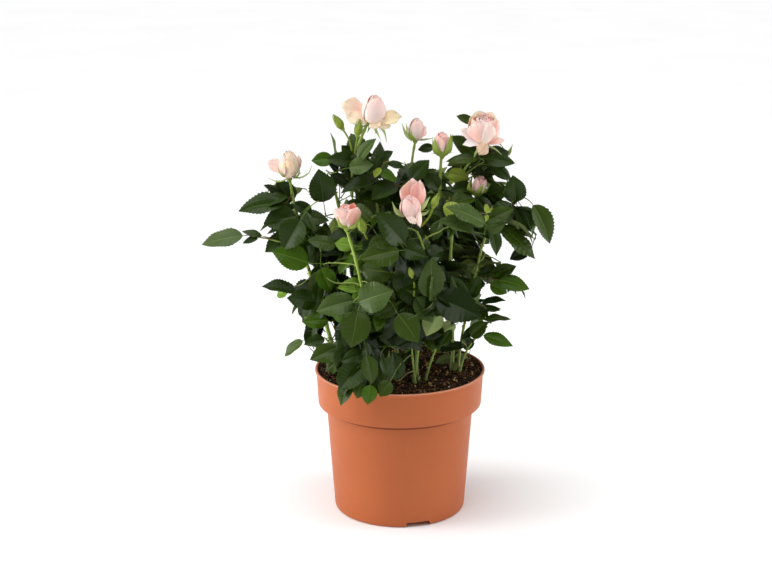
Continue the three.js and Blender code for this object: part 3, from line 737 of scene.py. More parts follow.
def leaflet_batch(P, F, L, W, fold, arch, lift, sweep, twist, reflex, quilt, tooth, wave, phase):
    """Vertices (n, NV, 3) of n leaflets. F holds side, along and normal for each."""
    n = len(L)
    t = (np.arange(1, ROWS) / ROWS)[None, :, None]
    e1 = lambda x: np.asarray(x, float)[:, None, None]
    L, W, fold, arch, lift, sweep, twist, reflex, quilt, tooth, wave, phase = map(e1, (L, W, fold, arch, lift, sweep, twist, reflex, quilt, tooth, wave, phase))
    odd = (np.arange(1, ROWS) % 2 == 1)[None, :, None]
    vein = (np.arange(1, ROWS) % 3 == 0)[None, :, None]      # every third row lies in a side vein
    rib = 0.026 + 0.05 * (1 - t) ** 6
    env = smooth01(0.06, 0.2, t) * np.clip((1 - t) * 6, 0, 1)

    def place(S, thickness, ridge=0.0, quilting=1.0):
        s = np.where(np.abs(S)[None, None] > 5, np.sign(S)[None, None] * rib, S[None, None] + 0 * t)
        a = np.abs(s)
        margin = a > 0.99
        tt = t + 0.30 * t ** 0.8 * (1 - t) * a + margin * np.where(odd, 0.009, -0.005) * env
        tt = np.clip(tt, 0, 0.995)
        w = 0.5 * W * (tt ** PEAK_A * (1 - tt) ** PEAK_B / F_MAX)
        w = w * (1 - 0.30 * smooth01(0.68, 1.0, tt))
        w = w + margin * np.where(odd, 1.0, -0.18) * tooth * env
        x = s * w
        z = np.abs(x) * np.tan(fold) - reflex * w * a ** 2.2
        q = np.where(vein, -1.0, 0.5) * quilt * env * quilting
        z = z + q * np.where(a < 0.2, 0.0, np.where(margin, 0.45, np.where(a > 0.6, 1.0, 0.85)))
        z = z - (a < 0.2) * 0.28 * (1 - t) ** 0.4 * (thickness == 0)
        z = z + wave * w * a ** 2 * np.sin(2 * math.pi * (1.7 * tt + phase) + np.where(s < 0, 1.9, 0))
        z = z - thickness - ridge * (a < 0.01) * (1 - t) ** 0.7
        ang = lift + arch * tt
        ys = L * (np.sin(ang) - np.sin(lift)) / arch
        zs = L * (np.cos(ang) - np.cos(lift)) / arch
        tw = twist * tt
        x, z = x * np.cos(tw) - z * np.sin(tw), x * np.sin(tw) + z * np.cos(tw)
        return np.stack([x + sweep * L * tt ** 2, ys + z * np.sin(ang), zs + z * np.cos(ang)], -1)
    top = place(TOP_S, 0.0)
    low = place(LOW_S, 0.34, 0.5)
    grid = np.concatenate([top, low], 2).reshape(n, -1, 3)
    L0, arch0, lift0, sweep0 = (x[:, 0, 0] for x in (L, arch, lift, sweep))
    base = np.zeros((n, 1, 3))
    tip = np.stack([sweep0 * L0, L0 * (np.sin(lift0 + arch0) - np.sin(lift0)) / arch0, L0 * (np.cos(lift0 + arch0) - np.cos(lift0)) / arch0], -1)[:, None]
    local = np.concatenate([grid, base, tip], 1)
    return np.einsum("nvk,nkj->nvj", local, F) + np.asarray(P)[:, None]


def add_leaflets(pile, leaves, tone_index):
    """leaves: list of dicts P, along, normal, L, W. tone_index: one tone for each."""
    if not leaves:
        return
    n = len(leaves)
    P = np.array([l["P"] for l in leaves])
    along = unit(np.array([l["along"] for l in leaves]))
    normal = across(np.array([l["normal"] for l in leaves]), along)
    side = np.cross(along, normal)
    F = np.stack([side, along, normal], 1)
    get = lambda k, lo, hi: np.array([l[k] if k in l else lo + (hi - lo) * rng.random() for l in leaves])
    L = np.array([l["L"] for l in leaves])
    W = np.array([l["W"] for l in leaves])
    fold = get("fold", 0.16, 0.5)
    arch = get("arch", 0.25, 0.95)
    v = leaflet_batch(P, F, L, W, fold, arch, get("lift", -0.35, -0.05), get("sweep", -0.07, 0.07),
                      get("twist", -0.25, 0.25), get("reflex", 0.06, 0.26), get("quilt", 0.12, 0.20) * L / 42,
                      get("tooth", 0.85, 1.2) * (L / 42) ** 0.6, get("wave", 0.02, 0.13), rng.random(n))
    for i in range(n):
        k = tone_index[i] * 3
        pile.add(v[i], tris=LT, quads=LQ, mt=LMT + k, mq=LMQ + k)


# ---------------------------------------------------------------- pot
def rounded(profile, radii, k=5):
    """A profile with its corners rounded by the radii given, k points to a corner."""
    out = [np.array(profile[0], float)]
    for i in range(1, len(profile) - 1):
        a, b, c = (np.array(profile[j], float) for j in (i - 1, i, i + 1))
        r = radii[i]
        if not r:
            out.append(b)
            continue
        r = min(r, 0.45 * np.linalg.norm(a - b), 0.45 * np.linalg.norm(c - b))
        s, e = b + unit(a - b) * r, b + unit(c - b) * r
        for t in np.linspace(0, 1, k):
            out.append(s * (1 - t) ** 2 + 2 * b * t * (1 - t) + e * t ** 2)
    out.append(np.array(profile[-1], float))
    return np.array(out)


def lathe(pile, profile, sides, mat=0, wobble=None):
    """A closed solid turned about Z. The profile starts and ends on the axis."""
    p = np.asarray(profile, float)
    a = np.arange(sides) / sides * 2 * math.pi
    ring = p[1:-1]
    r = ring[:, 0][:, None] * np.ones(sides)
    if wobble is not None:
        r = r + wobble(a[None, :], ring[:, 1][:, None])
    v = np.stack([r * np.cos(a), r * np.sin(a), np.broadcast_to(ring[:, 1][:, None], r.shape)], -1).reshape(-1, 3)
    k = len(ring)
    i = np.arange(k - 1)[:, None] * sides
    j = np.arange(sides)[None, :]
    j2 = (j + 1) % sides
    quads = np.stack([i + j, i + j2, i + sides + j2, i + sides + j], -1).reshape(-1, 4)
    v = np.vstack([v, [0, 0, p[0][1]], [0, 0, p[-1][1]]])
    c0, c1 = len(v) - 2, len(v) - 1
    tris = [(c0, int(y), int(x)) for x, y in zip(j[0], j2[0])]
    o = (k - 1) * sides
    tris += [(c1, o + int(x), o + int(y)) for x, y in zip(j[0], j2[0])]
    pile.add(v, tris=tris, quads=quads, mt=mat, mq=mat)


def subdivided(profile, step):
    out = [profile[0]]
    for a, b in zip(profile[:-1], profile[1:]):
        k = max(1, int(np.linalg.norm(b - a) / step))
        out += [a + (b - a) * (i + 1) / k for i in range(k)]
    return np.array(out)


def build_pot():
    p = POT
    H, bd = p["height"], p["bead"]
    prof = [
        (0, 0), (p["foot"] - p["foot_round"], 0), (p["foot"], p["foot_round"]),
        (p["body_top"] - 0.29, p["shoulder"] - 4.2), (p["body_top"] - 0.21, p["shoulder"] - 3.4), (p["body_top"], p["shoulder"]),
        (p["collar_foot"], p["lip"]), (p["collar_top"] - 0.1, H - bd - 0.4), (p["rim"], H - bd * 0.85), (p["rim"] - 0.1, H - 0.2), (p["rim"] - 2.2, H),
        (p["collar_top"] - p["wall"] + 0.3, H - 0.5), (p["collar_foot"] - p["wall"], p["lip"] + p["wall"]),
        (p["body_top"] - p["wall"], p["shoulder"] + p["wall"]), (p["foot"] - p["wall"], p["floor"]), (0, p["floor"]),
    ]
    radii = [0, 1.3, 1.3, 0, 0, 0.9, 1.3, 1.2, 1.1, 1.1, 0.9, 0.9, 1.6, 1.2, 3.0, 0]
    line = subdivided(rounded(prof, radii), 6.0)
    # never past the part's own outline
    line[:, 1] = np.clip(line[:, 1], 0, H)
    pile = Pile()

    def wobble(a, z):   # the slight out-of-round and sink marks of a thin moulded wall
        out = 0.16 * np.sin(2 * a + 0.7) * smooth01(20, 150, z) + 0.07 * np.sin(5 * a + 2 + z * 0.03)
        return np.where(z < 4, 0, out) - 0.10 * smooth01(20, 150, z)
    lathe(pile, line, 160, wobble=wobble)
    pot = pile.mesh("pot_shell", [POT_MAT], slot="pot_plastic", stands_for=["pot"], sharp=0)
    cutters = Pile()
    for i in range(CHANNEL["count"]):
        turn = math.radians(CHANNEL["first"] + i * 360 / CHANNEL["count"] - 90)
        c, s = math.cos(turn), math.sin(turn)
        w, d, x0, x1 = CHANNEL["width"] / 2, CHANNEL["depth"], CHANNEL["inner"], p["foot"] + 10
        sec = rounded([(-w - 1.2, -6), (-w - 1.2, 0), (-w, 0.9), (-w + 1.0, d), (w - 1.0, d), (w, 0.9), (w + 1.2, 0), (w + 1.2, -6)], [0, 0.5, 1.2, 1.6, 1.6, 1.2, 0.5, 0], 4)
        k = len(sec)
        v = [(x * c - y * s, x * s + y * c, z) for x in (x0, x1) for y, z in sec]
        quads = [(j, k + j, k + (j + 1) % k, (j + 1) % k) for j in range(k)]
        v += [(x0 * c, x0 * s, -1), (x1 * c, x1 * s, -1)]
        tris = [(2 * k, j, (j + 1) % k) for j in range(k)] + [(2 * k + 1, k + (j + 1) % k, k + j) for j in range(k)]
        cutters.add(v, tris=tris, quads=quads)
        hole = Pile()
        lathe(hole, [(0, -3), (DRAIN["radius"] + 0.8, -3), (DRAIN["radius"], d + 0.8), (DRAIN["radius"], 14), (0, 14)], 28)
        hv = np.vstack(hole.v)
        r = DRAIN["at"]
        cutters.add(hv + np.array([r * c, r * s, 0]), tris=np.vstack(hole.t), quads=np.vstack(hole.q))
    tool = cutters.mesh("pot_cutters", [POT_MAT], sharp=0)
    m = pot.modifiers.new("channels", "BOOLEAN")
    m.operation, m.solver, m.use_self, m.object = "DIFFERENCE", "EXACT", True, tool
    dg = bpy.context.evaluated_depsgraph_get()
    new = bpy.data.meshes.new_from_object(pot.evaluated_get(dg))
    pot.modifiers.clear()
    pot.data = new
    new.name = "pot_shell"
    print("pot faces", len(pot.data.polygons))
    new.polygons.foreach_set("use_smooth", np.ones(len(new.polygons), bool))
    new.set_sharp_from_angle(angle=math.radians(48))
    # painted shade: the dark line in the corner under the collar, a shadow painted into the colour
    co = np.zeros(len(new.vertices) * 3)
    new.vertices.foreach_get("co", co)
    co = co.reshape(-1, 3) * 1000
    r = np.hypot(co[:, 0], co[:, 1])
    collar_shade = smooth01(p["shoulder"] - 4.25, p["shoulder"] - 3.3, co[:, 2]) * smooth01(p["collar_foot"] - 0.15, p["collar_foot"] - 0.7, r) * (r > p["body_top"] - 1.2) * (co[:, 2] < p["lip"] + 1.0)
    line = new.attributes.new("painted_collar_shade", "FLOAT", "POINT")
    line.data.foreach_set("value", collar_shade.astype(np.float32))
    # painted highlight: the top edge of the rim made paler, as if catching the light
    rim_highlight = smooth01(H - 1.7, H - 0.5, co[:, 2]) * smooth01(p["rim"] - 2.9, p["rim"] - 1.5, r)
    edge = new.attributes.new("painted_rim_highlight", "FLOAT", "POINT")
    edge.data.foreach_set("value", rim_highlight.astype(np.float32))
    bpy.data.objects.remove(tool)
    return pot


def wall_radius(z):
    p = POT
    return float(np.interp(z, [p["floor"], p["shoulder"] + p["wall"], p["lip"] + p["wall"], p["height"]],
                           [p["foot"] - p["wall"], p["body_top"] - p["wall"], p["collar_foot"] - p["wall"], p["collar_top"] - p["wall"] + 0.3]))


def soil_top(x, y):
    r = np.hypot(x, y) / POT["collar_top"]
    return SOIL["level"] + SOIL["mound"] * (1 - r * r) + SOIL["rough"] * (np.sin(0.11 * x + 1.3) * np.cos(0.09 * y + 0.4) + 0.6 * np.sin(0.21 * x - 0.17 * y + 2.1))


def value_noise(x, y, seed, cell):
    """Smooth seeded noise between -1 and 1 over the plane."""
    g = np.random.default_rng(seed).uniform(-1, 1, (256, 256))
    u, v = x / cell + 100.0, y / cell + 100.0
    i, j = np.floor(u).astype(int), np.floor(v).astype(int)
    fu, fv = u - i, v - j
    fu, fv = fu * fu * (3 - 2 * fu), fv * fv * (3 - 2 * fv)
    G = lambda a, b: g[a % 256, b % 256]
    return (G(i, j) * (1 - fu) + G(i + 1, j) * fu) * (1 - fv) + (G(i, j + 1) * (1 - fu) + G(i + 1, j + 1) * fu) * fv


ICO_V = None


def chunk(pile, centre, size, mat, squash=(1, 1, 1), rough=0.3):
    """One crumb, pebble or bit of perlite: a small uneven closed lump."""
    global ICO_V, ICO_T
    if ICO_V is None:
        g = (1 + 5 ** 0.5) / 2
        ICO_V = unit(np.array([(-1, g, 0), (1, g, 0), (-1, -g, 0), (1, -g, 0), (0, -1, g), (0, 1, g), (0, -1, -g), (0, 1, -g), (g, 0, -1), (g, 0, 1), (-g, 0, -1), (-g, 0, 1)], float))
        ICO_T = np.array([(0, 11, 5), (0, 5, 1), (0, 1, 7), (0, 7, 10), (0, 10, 11), (1, 5, 9), (5, 11, 4), (11, 10, 2), (10, 7, 6), (7, 1, 8), (3, 9, 4), (3, 4, 2), (3, 2, 6), (3, 6, 8), (3, 8, 9), (4, 9, 5), (2, 4, 11), (6, 2, 10), (8, 6, 7), (9, 8, 1)])
    q, _ = np.linalg.qr(rng.normal(size=(3, 3)))
    if np.linalg.det(q) < 0:
        q[:, 0] *= -1
    v = ICO_V * (1 + rough * rng.uniform(-1, 1, (12, 1))) * np.asarray(squash, float) * size
    pile.add(v @ q.T + centre, tris=ICO_T, mt=mat)


def build_soil():
    R = wall_radius(SOIL["level"]) - 0.35
    pile = Pile()
    rings, sides = 86, 190
    r = R * np.sqrt(np.linspace(0, 1, rings + 1)[1:] ** 1.25)
    a = np.arange(sides) / sides * 2 * math.pi
    x, y = r[:, None] * np.cos(a), r[:, None] * np.sin(a)
    z = soil_top(x, y)
    z = z + 1.25 * value_noise(x, y, 5, 7.0) + 0.8 * value_noise(x, y, 6, 3.1) + 0.5 * value_noise(x, y, 8, 1.7)
    rr = np.hypot(x, y)         # it settles a little at the wall in front and is heaped up to it behind
    z = z - 1.5 * smooth01(R - 6, R, rr) * smooth01(0, -40, y) + 0.9 * smooth01(R - 20, R, rr) * smooth01(-10, 40, y)
    top = np.stack([x, y, z], -1).reshape(-1, 3)
    quads = []
    i = np.arange(rings - 1)[:, None] * sides
    j = np.arange(sides)[None, :]
    j2 = (j + 1) % sides
    quads.append(np.stack([i + j, i + sides + j, i + sides + j2, i + j2], -1).reshape(-1, 4))
    centre = np.array([[0, 0, soil_top(0, 0)]])
    levels = [SOIL["level"] - 9, POT["lip"] + POT["wall"] + 1.2, POT["shoulder"] + POT["wall"], POT["floor"] + 0.5]
    low = [np.stack([(wall_radius(q) - 0.6) * np.cos(a), (wall_radius(q) - 0.6) * np.sin(a), np.full(sides, q)], -1) for q in levels]
    v = np.vstack([top, centre] + low + [np.array([[0, 0, levels[-1]]])])
    c = len(top)
    tris = [(c, int(p), int(q)) for p, q in zip(j[0], j2[0])]
    o = (rings - 1) * sides
    ring0 = c + 1
    quads.append(np.stack([o + j[0], ring0 + j[0], ring0 + j2[0], o + j2[0]], -1))
    for k in range(len(levels) - 1):
        s = ring0 + k * sides
        quads.append(np.stack([s + j[0], s + sides + j[0], s + sides + j2[0], s + j2[0]], -1))
    last = ring0 + (len(levels) - 1) * sides
    tris += [(len(v) - 1, int(last + q), int(last + p)) for p, q in zip(j[0], j2[0])]
    pile.add(v, tris=tris, quads=np.vstack(quads))
    peat = soil_finish("soil_peat", [(0.30, (15, 9, 5)), (0.48, (42, 26, 13)), (0.60, (78, 51, 27)), (0.72, (112, 76, 42))], 120.0, 0.0016)
    pile.mesh("soil_bed", [peat], slot="potting_soil", stands_for=["soil"], sharp=0)

    crumbs = Pile()
    dark = soil_finish("soil_crumb_dark", [(0.35, (26, 16, 11)), (0.55, (52, 33, 22)), (0.7, (86, 58, 38))], 240.0, 0.0008)
    brown = soil_finish("soil_crumb_brown", [(0.35, (78, 54, 28)), (0.6, (126, 92, 52)), (0.75, (164, 124, 74))], 240.0, 0.0008)
    tan = soil_finish("bark_chip_tan", [(0.35, (164, 128, 74)), (0.6, (202, 168, 106)), (0.75, (222, 196, 140))], 160.0, 0.0006)
    white = soil_finish("perlite", [(0.3, (176, 168, 156)), (0.6, (214, 208, 198)), (0.8, (232, 228, 220))], 200.0, 0.0006)
    mats = [dark, brown, tan, white]
    for k in range(2300):
        rad, ang = (R - 2.2) * math.sqrt(rng.random()), rng.random() * 2 * math.pi
        px, py = rad * math.cos(ang), rad * math.sin(ang)
        pick = rng.random()
        mat = 0 if pick < 0.56 else 1 if pick < 0.86 else 2 if pick < 0.945 else 3
        size = [rng.uniform(0.7, 2.0), rng.uniform(0.6, 1.6), rng.uniform(0.7, 1.5), rng.uniform(0.5, 1.15)][mat]
        if mat == 2 and rng.random() < 0.06:
            size *= 2.0
        sq = (1, rng.uniform(0.55, 1), rng.uniform(0.35, 0.8))
        chunk(crumbs, np.array([px, py, soil_top(px, py) + 0.5 + size * 0.2 + 0.6 * rng.random()]), size, mat, sq)
    for k in range(96):        # larger chips of bark and wood lying on top
        rad, ang = (R - 7) * math.sqrt(rng.random()), rng.random() * 2 * math.pi
        px, py = rad * math.cos(ang), rad * math.sin(ang)
        size = rng.uniform(1.5, 3.0)
        chunk(crumbs, np.array([px, py, soil_top(px, py) + 1.2 + 0.5 * rng.random()]), size, 2 if rng.random() < 0.5 else 1, (1, rng.uniform(0.4, 0.9), rng.uniform(0.22, 0.45)), 0.22)
    crumbs.mesh("soil_crumbs", mats, slot="potting_soil", sharp=35)

    fibres = Pile()
    straw = soil_finish("peat_fibre", [(0.35, (110, 70, 44)), (0.6, (150, 106, 66)), (0.75, (176, 134, 90))], 300.0, 0.0003)
    for k in range(210):
        rad, ang = (R - 8) * math.sqrt(rng.random()), rng.random() * 2 * math.pi
        x0, y0 = rad * math.cos(ang), rad * math.sin(ang)
        h, ln = rng.random() * 2 * math.pi, rng.uniform(4, 15)
        pts = []
        for s in np.linspace(-0.5, 0.5, 6):
            hh = h + 0.9 * s * rng.uniform(-1, 1)
            qx, qy = x0 + s * ln * math.cos(hh), y0 + s * ln * math.sin(hh)
            pts.append((qx, qy, soil_top(qx, qy) + 1.3 + 1.2 * rng.random() * (1 - 2 * abs(s))))
        tube(fibres, pts, np.linspace(0.28, 0.16, 6) * rng.uniform(0.7, 1.4), sides=4)
    fibres.mesh("soil_fibres", [straw], slot="potting_soil", sharp=50)


build_pot()
build_soil()

# ---------------------------------------------------------------- canes
SLIM = dict(cane_centre_low=0.62, cane_centre_right=0.66, cane_right_outer=0.66, cane_right_low=0.6,
            cane_right_inner=0.74, cane_centre=0.78, cane_centre_top=0.75, cane_front_top=0.85)
ALL_LIMBS = []          # name, path (every 2 mm), radius at each point
for name, clump, off, way, r0, r1 in CANES:
    foot = (CLUMP[clump][0] + off[0], CLUMP[clump][1] + off[1], SOIL_Z)
    path = spline([foot] + list(way), 2.0)
    t = np.linspace(0, 1, len(path))
    keep = SLIM.get(name, 1.0)      # young canes are stout only where they spring from the stump
    thin = keep + (1 - keep) * (1 - smooth01(4.0, 26.0, np.arange(len(path)) * 2.0))
    ALL_LIMBS.append((name, path, (r0 + (r1 - r0) * t ** 0.8) * thin))
for name, way, r0, r1 in STALKS:
    path = spline(way, 2.0)
    t = np.linspace(0, 1, len(path))
    ALL_LIMBS.append((name, path, r0 + (r1 - r0) * t ** 0.8))


def prickle(pile, at, out, down, size, base_age, blush=0.8):
    """A flattened thorn that hooks downward."""
    out, down = unit(out), unit(down)
    side = np.cross(out, down)
    path = [at - out * 0.5, at + out * size * 0.35 + down * size * 0.02, at + out * size * 0.75 + down * size * 0.12, at + out * size + down * size * 0.38]
    half = [1.35, 0.85, 0.4, 0.06]
    v, quads = [], []
    for q, h in zip(path, half):
        h = h * size / 3.2
        for a in range(6):
            ang = a / 6 * 2 * math.pi
            v.append(q + down * math.cos(ang) * h * 1.25 + side * math.sin(ang) * h * 0.62)
    for i in range(3):
        for a in range(6):
            b = (a + 1) % 6
            quads.append((i * 6 + a, i * 6 + b, (i + 1) * 6 + b, (i + 1) * 6 + a))
    v += [path[0], path[-1] + (out + down) * 0.1]
    tris = [(24, (a + 1) % 6, a) for a in range(6)] + [(25, 18 + a, 18 + (a + 1) % 6) for a in range(6)]
    v = np.array(v)
    # keep the faces outward whichever way the axes turned
    if np.dot(np.cross(v[1] - v[0], v[6] - v[0]), v[0] - path[0]) < 0:
        quads = [q[::-1] for q in quads]
        tris = [q[::-1] for q in tris]
    pile.add(v, tris=tris, quads=quads, age=np.full(len(v), base_age), blush=np.full(len(v), blush))


NODES_ON = {}           # where each cane bears a leaf or shoot: arc length and turn
for name, path, rad in ALL_LIMBS:
    cane = name.startswith("cane")
    length = 2.0 * (len(path) - 1)
    marks, s, turn = [], (34 if cane else 12) + rng.uniform(-3, 3), rng.random() * 2 * math.pi
    while s < length - 3:
        marks.append((s, turn))
        s += rng.uniform(17, 25)
        turn += 2 * math.pi * 0.4 + rng.uniform(-0.3, 0.3)
    NODES_ON[name] = marks


def build_limbs():
    for name, path, rad in ALL_LIMBS:
        cane = name.startswith("cane")
        sides = 14 if cane else 10
        pile = Pile()
        k = len(path)
        arc = np.arange(k) * 2.0
        swell = np.zeros(k)
        for s, _ in NODES_ON[name]:
            swell += 0.42 * np.exp(-((arc - s) / 2.2) ** 2)
        foot = 0.9 * np.exp(-((arc - 5) / 7.0) ** 2) if cane else 0
        ph = rng.random(4) * 6.28
        amp = 0.055

        def relief(t, a):
            s = t * arc[-1]
            ridges = np.sin(5 * a + ph[0] + 0.05 * s) + 0.7 * np.sin(9 * a + ph[1] - 0.09 * s) + 0.6 * np.sin(3 * a + 0.23 * s + ph[2])
            return amp * ridges * (1.0 + 0.5 * np.sin(0.41 * s + ph[3]))
        rr = rad + swell + foot
        height = np.clip((path[:, 2] - 156) / 190, 0, 1)
        age = np.clip(0.85 - 1.05 * height ** 0.6, 0.0, 1.0) if cane else np.full(k, 0.05)
        lean = rng.uniform(0.0, 0.5)
        tube(pile, path, rr, sides, bump=relief, age=age, blush=lean * (0.4 + 0.6 * np.sin(arc * 0.05 + ph[0]) ** 2))
        t, n, b = frames_along(path)
        if cane:
            for _ in range(int(len(path) / 11)):
                i = int(rng.integers(6, k - 3))
                if path[i][2] < 160:
                    continue
                ang = rng.random() * 2 * math.pi
                out = n[i] * math.cos(ang) + b[i] * math.sin(ang)
                prickle(pile, path[i] + out * rr[i] * 0.95, out, -t[i], rng.uniform(2.0, 3.4), float(age[i]))
        pile.mesh("bark_" + name, [BARK_MAT], slot="cane_bark" if cane else "flower_stalk", stands_for=[name], sharp=60)
    # the old pruned stumps that each clump springs from
    knobs = Pile()
    for i, (c, (x, y)) in enumerate(CLUMP.items()):
        z0 = float(soil_top(x, y)) - 4
        for m in range(3 if c in ("centre", "right", "front") else 2):
            ang = rng.random() * 6.28
            lean = np.array([math.cos(ang), math.sin(ang), 0]) * (2.0 if m else 0.6)
            high = (13 if c == "right" and m == 0 else rng.uniform(7, 11))
            r = 3.3 if m == 0 else 2.4
            a = np.array([x, y, z0]) + lean * 0.8
            path = spline([a, a + (0, 0, high * 0.5) + lean * 0.3, a + (0, 0, high) + lean * 1.2], 1.6)
            k = len(path)
            rr = r * (1.25 - 0.35 * np.linspace(0, 1, k)) + 0.25 * np.sin(np.arange(k) * 1.7)
            ph = rng.random(2) * 6.28
            age = 0.95
            tube(knobs, path, rr, 14, bump=lambda t, a, ph=ph: 0.22 * np.sin(4 * a + ph[0] + 3 * t) + 0.14 * np.sin(7 * a + ph[1]), age=age, blush=0.1)
    knobs.mesh("cane_stumps", [BARK_MAT], slot="cane_bark", sharp=50)


build_limbs()

# ---------------------------------------------------------------- the crown's volume
MC = np.array([m[1] for m in MASSES], float)
MH = np.array([m[2] for m in MASSES], float)
ROLL = np.radians([m[3] for m in MASSES])
CROWN = np.array([-8.0, 12.0, 262.0])


def in_mass(p, grow=0.0):
    """How far out each point is in each mass: 1 on its surface."""
    d = np.atleast_2d(p)[:, None] - MC[None]
    c, s = np.cos(ROLL), np.sin(ROLL)
    x, z = d[..., 0] * c - d[..., 2] * s, d[..., 0] * s + d[..., 2] * c
    return np.sqrt((x / (MH[:, 0] + grow)) ** 2 + (d[..., 1] / (MH[:, 1] + grow)) ** 2 + (z / (MH[:, 2] + grow)) ** 2)


def from_mass(q, k):
    """Points given in a mass's own unit sphere, in the part's frame."""
    d = q * MH[k]
    c, s = math.cos(ROLL[k]), math.sin(ROLL[k])
    return MC[k] + np.stack([d[:, 0] * c + d[:, 2] * s, d[:, 1], -d[:, 0] * s + d[:, 2] * c], 1)


def outward(p):
    return unit((np.asarray(p) - CROWN) * np.array([1.0, 1.15, 0.62]))


def seen_from_front(p):
    """Where each point falls on the plane y = 0 as the eye in front sees it, and its distance."""
    d = np.atleast_2d(p) - EYE
    t = -EYE[1] / d[:, 1]
    q = EYE + d * t[:, None]
    return q[:, [0, 2]], np.linalg.norm(d, axis=1)


def lead_frame(base, tip, tilt):
    """Axis and face normal of a leading leaf that is tipped back from facing the front."""
    base, tip = np.array(base, float), np.array(tip, float)
    along = unit(tip - base)
    v = across(EYE - (base + tip) / 2, along)
    u = np.cross(along, v)
    if u[2] + 0.2 * u[0] < 0:
        u = -u
    a = math.radians(tilt)
    return along, v * math.cos(a) + u * math.sin(a)


# where the stalks of the leading leaves should join the twigs
LEAD_ROOTS = []
for tone, pairs, base, tip, width, tilt in LEADS:
    along, normal = lead_frame(base, tip, tilt)
    b = np.array(base, float)
    back = unit(-along * 0.8 + unit(np.array([CROWN[0] * 0.5 + b[0] * 0.5, 30.0, b[2] - 25]) - b) * 0.7)
    LEAD_ROOTS.append(b + back * (34.0 if pairs else 17.0))
LEAD_ROOTS = np.array(LEAD_ROOTS)


# ---------------------------------------------------------------- twigs: a seeded branching rule
def grow_twigs():
    """Shoots leave the canes and grow step by step towards points in the masses that nothing
    has reached yet. Returns nodes, parents, and the limb that each one springs from."""
    pos, parent, limb, way = [], [], [], []
    for k, (name, path, rad) in enumerate(ALL_LIMBS):
        if not name.startswith("cane"):
            continue
        prev = -1
        for i in range(0, len(path), 3):
            if path[i][2] < 176:
                continue
            pos.append(path[i])
            parent.append(prev)
            limb.append(k)
            way.append(unit(path[min(i + 2, len(path) - 1)] - path[max(i - 2, 0)]))
            prev = len(pos) - 1
    first = len(pos)
    goals = []
    for k in range(len(MASSES)):
        size = float(np.prod(MH[k])) ** (1 / 3)
        n = max(4, int(round(size * size * 0.0095)))
        got, tries = [], 0
        while len(got) < n and tries < 900:
            tries += 1
            q = unit(rng.normal(size=3)) * rng.uniform(0.15, 0.86) ** (1 / 2.2)
            p = from_mass(q[None], k)[0]
            if p[2] < 170 or (got and np.min(np.linalg.norm(np.array(got) - p, axis=1)) < 11):
                continue
            got.append(p)
        goals += got
    goals = np.vstack([np.array(goals), LEAD_ROOTS])
    reach = np.r_[np.full(len(goals) - len(LEAD_ROOTS), 9.0), np.full(len(LEAD_ROOTS), 6.0)]
    alive = np.ones(len(goals), bool)
    stall = np.zeros(len(goals), int)
    step = 5.5
    for it in range(90):
        P = np.array(pos)
        G = goals[alive]
        if not len(G):
            break
        d = np.linalg.norm(G[:, None] - P[None], axis=2)
        near = d.argmin(1)
        dist = d.min(1)
        idx = np.flatnonzero(alive)
        done = dist < reach[idx]
        alive[idx[done]] = False
        grew = False
        for node in np.unique(near[~done]):
            who = (near == node) & ~done & (dist < 110)
            if not who.any():
                continue
            pull = unit(G[who] - P[node]).sum(0)
            new = P[node] + step * unit(unit(pull) + 0.45 * way[node] + 0.10 * UP + 0.16 * rng.normal(size=3))
            if new[2] < 168:
                new[2] = 168
            if np.min(np.linalg.norm(P - new, axis=1)) < 2.6:
                stall[idx[who]] += 1
                continue
            pos.append(new)
            parent.append(int(node))
            limb.append(limb[node])
            way.append(unit(new - P[node]))
            grew = True
        alive[stall > 5] = False
        if not grew:
            break
    return np.array(pos), np.array(parent), np.array(limb), first


TW_POS, TW_PAR, TW_LIMB, TW_FIRST = grow_twigs()
print("twig nodes", len(TW_POS) - TW_FIRST)


def twig_chains():
    """The network as separate shoots, each with its points and radii, the stoutest first."""
    n = len(TW_POS)
    kids = [[] for _ in range(n)]
    for i in range(TW_FIRST, n):
        kids[TW_PAR[i]].append(i)
    load = np.ones(n)
    for i in range(n - 1, TW_FIRST - 1, -1):
        if TW_PAR[i] >= TW_FIRST:
            load[TW_PAR[i]] += load[i]
    chains = []
    starts = [(p, c) for p in range(n) for c in kids[p] if p < TW_FIRST or c != max(kids[p], key=lambda q: load[q])]
    for p, c in starts:
        run = [p, c]
        while kids[run[-1]]:
            run.append(max(kids[run[-1]], key=lambda q: load[q]))
        chains.append(run)
    return chains, load


CHAINS, LOAD = twig_chains()
SHOOTS = []             # path, radii, tip is free
for run in CHAINS:
    pts = TW_POS[run].copy()
    for _ in range(2):
        if len(pts) > 3:
            pts[2:-1] = 0.25 * pts[1:-2] + 0.5 * pts[2:-1] + 0.25 * pts[3:]
    pts[1:] = pts[1:] + rng.normal(size=pts[1:].shape) * 0.25
    path = spline(pts, 2.6)
    load = np.interp(np.linspace(0, len(run) - 1, len(path)), np.arange(len(run)), LOAD[run])
    load[: max(1, int(5.5 / 2.6))] = LOAD[run[1]]
    rad = np.clip(0.50 + 0.11 * np.sqrt(np.minimum(load, 40)), 0.58, 1.15)
    rad = rad * np.linspace(1.0, 0.86, len(rad))
    SHOOTS.append((path, rad))

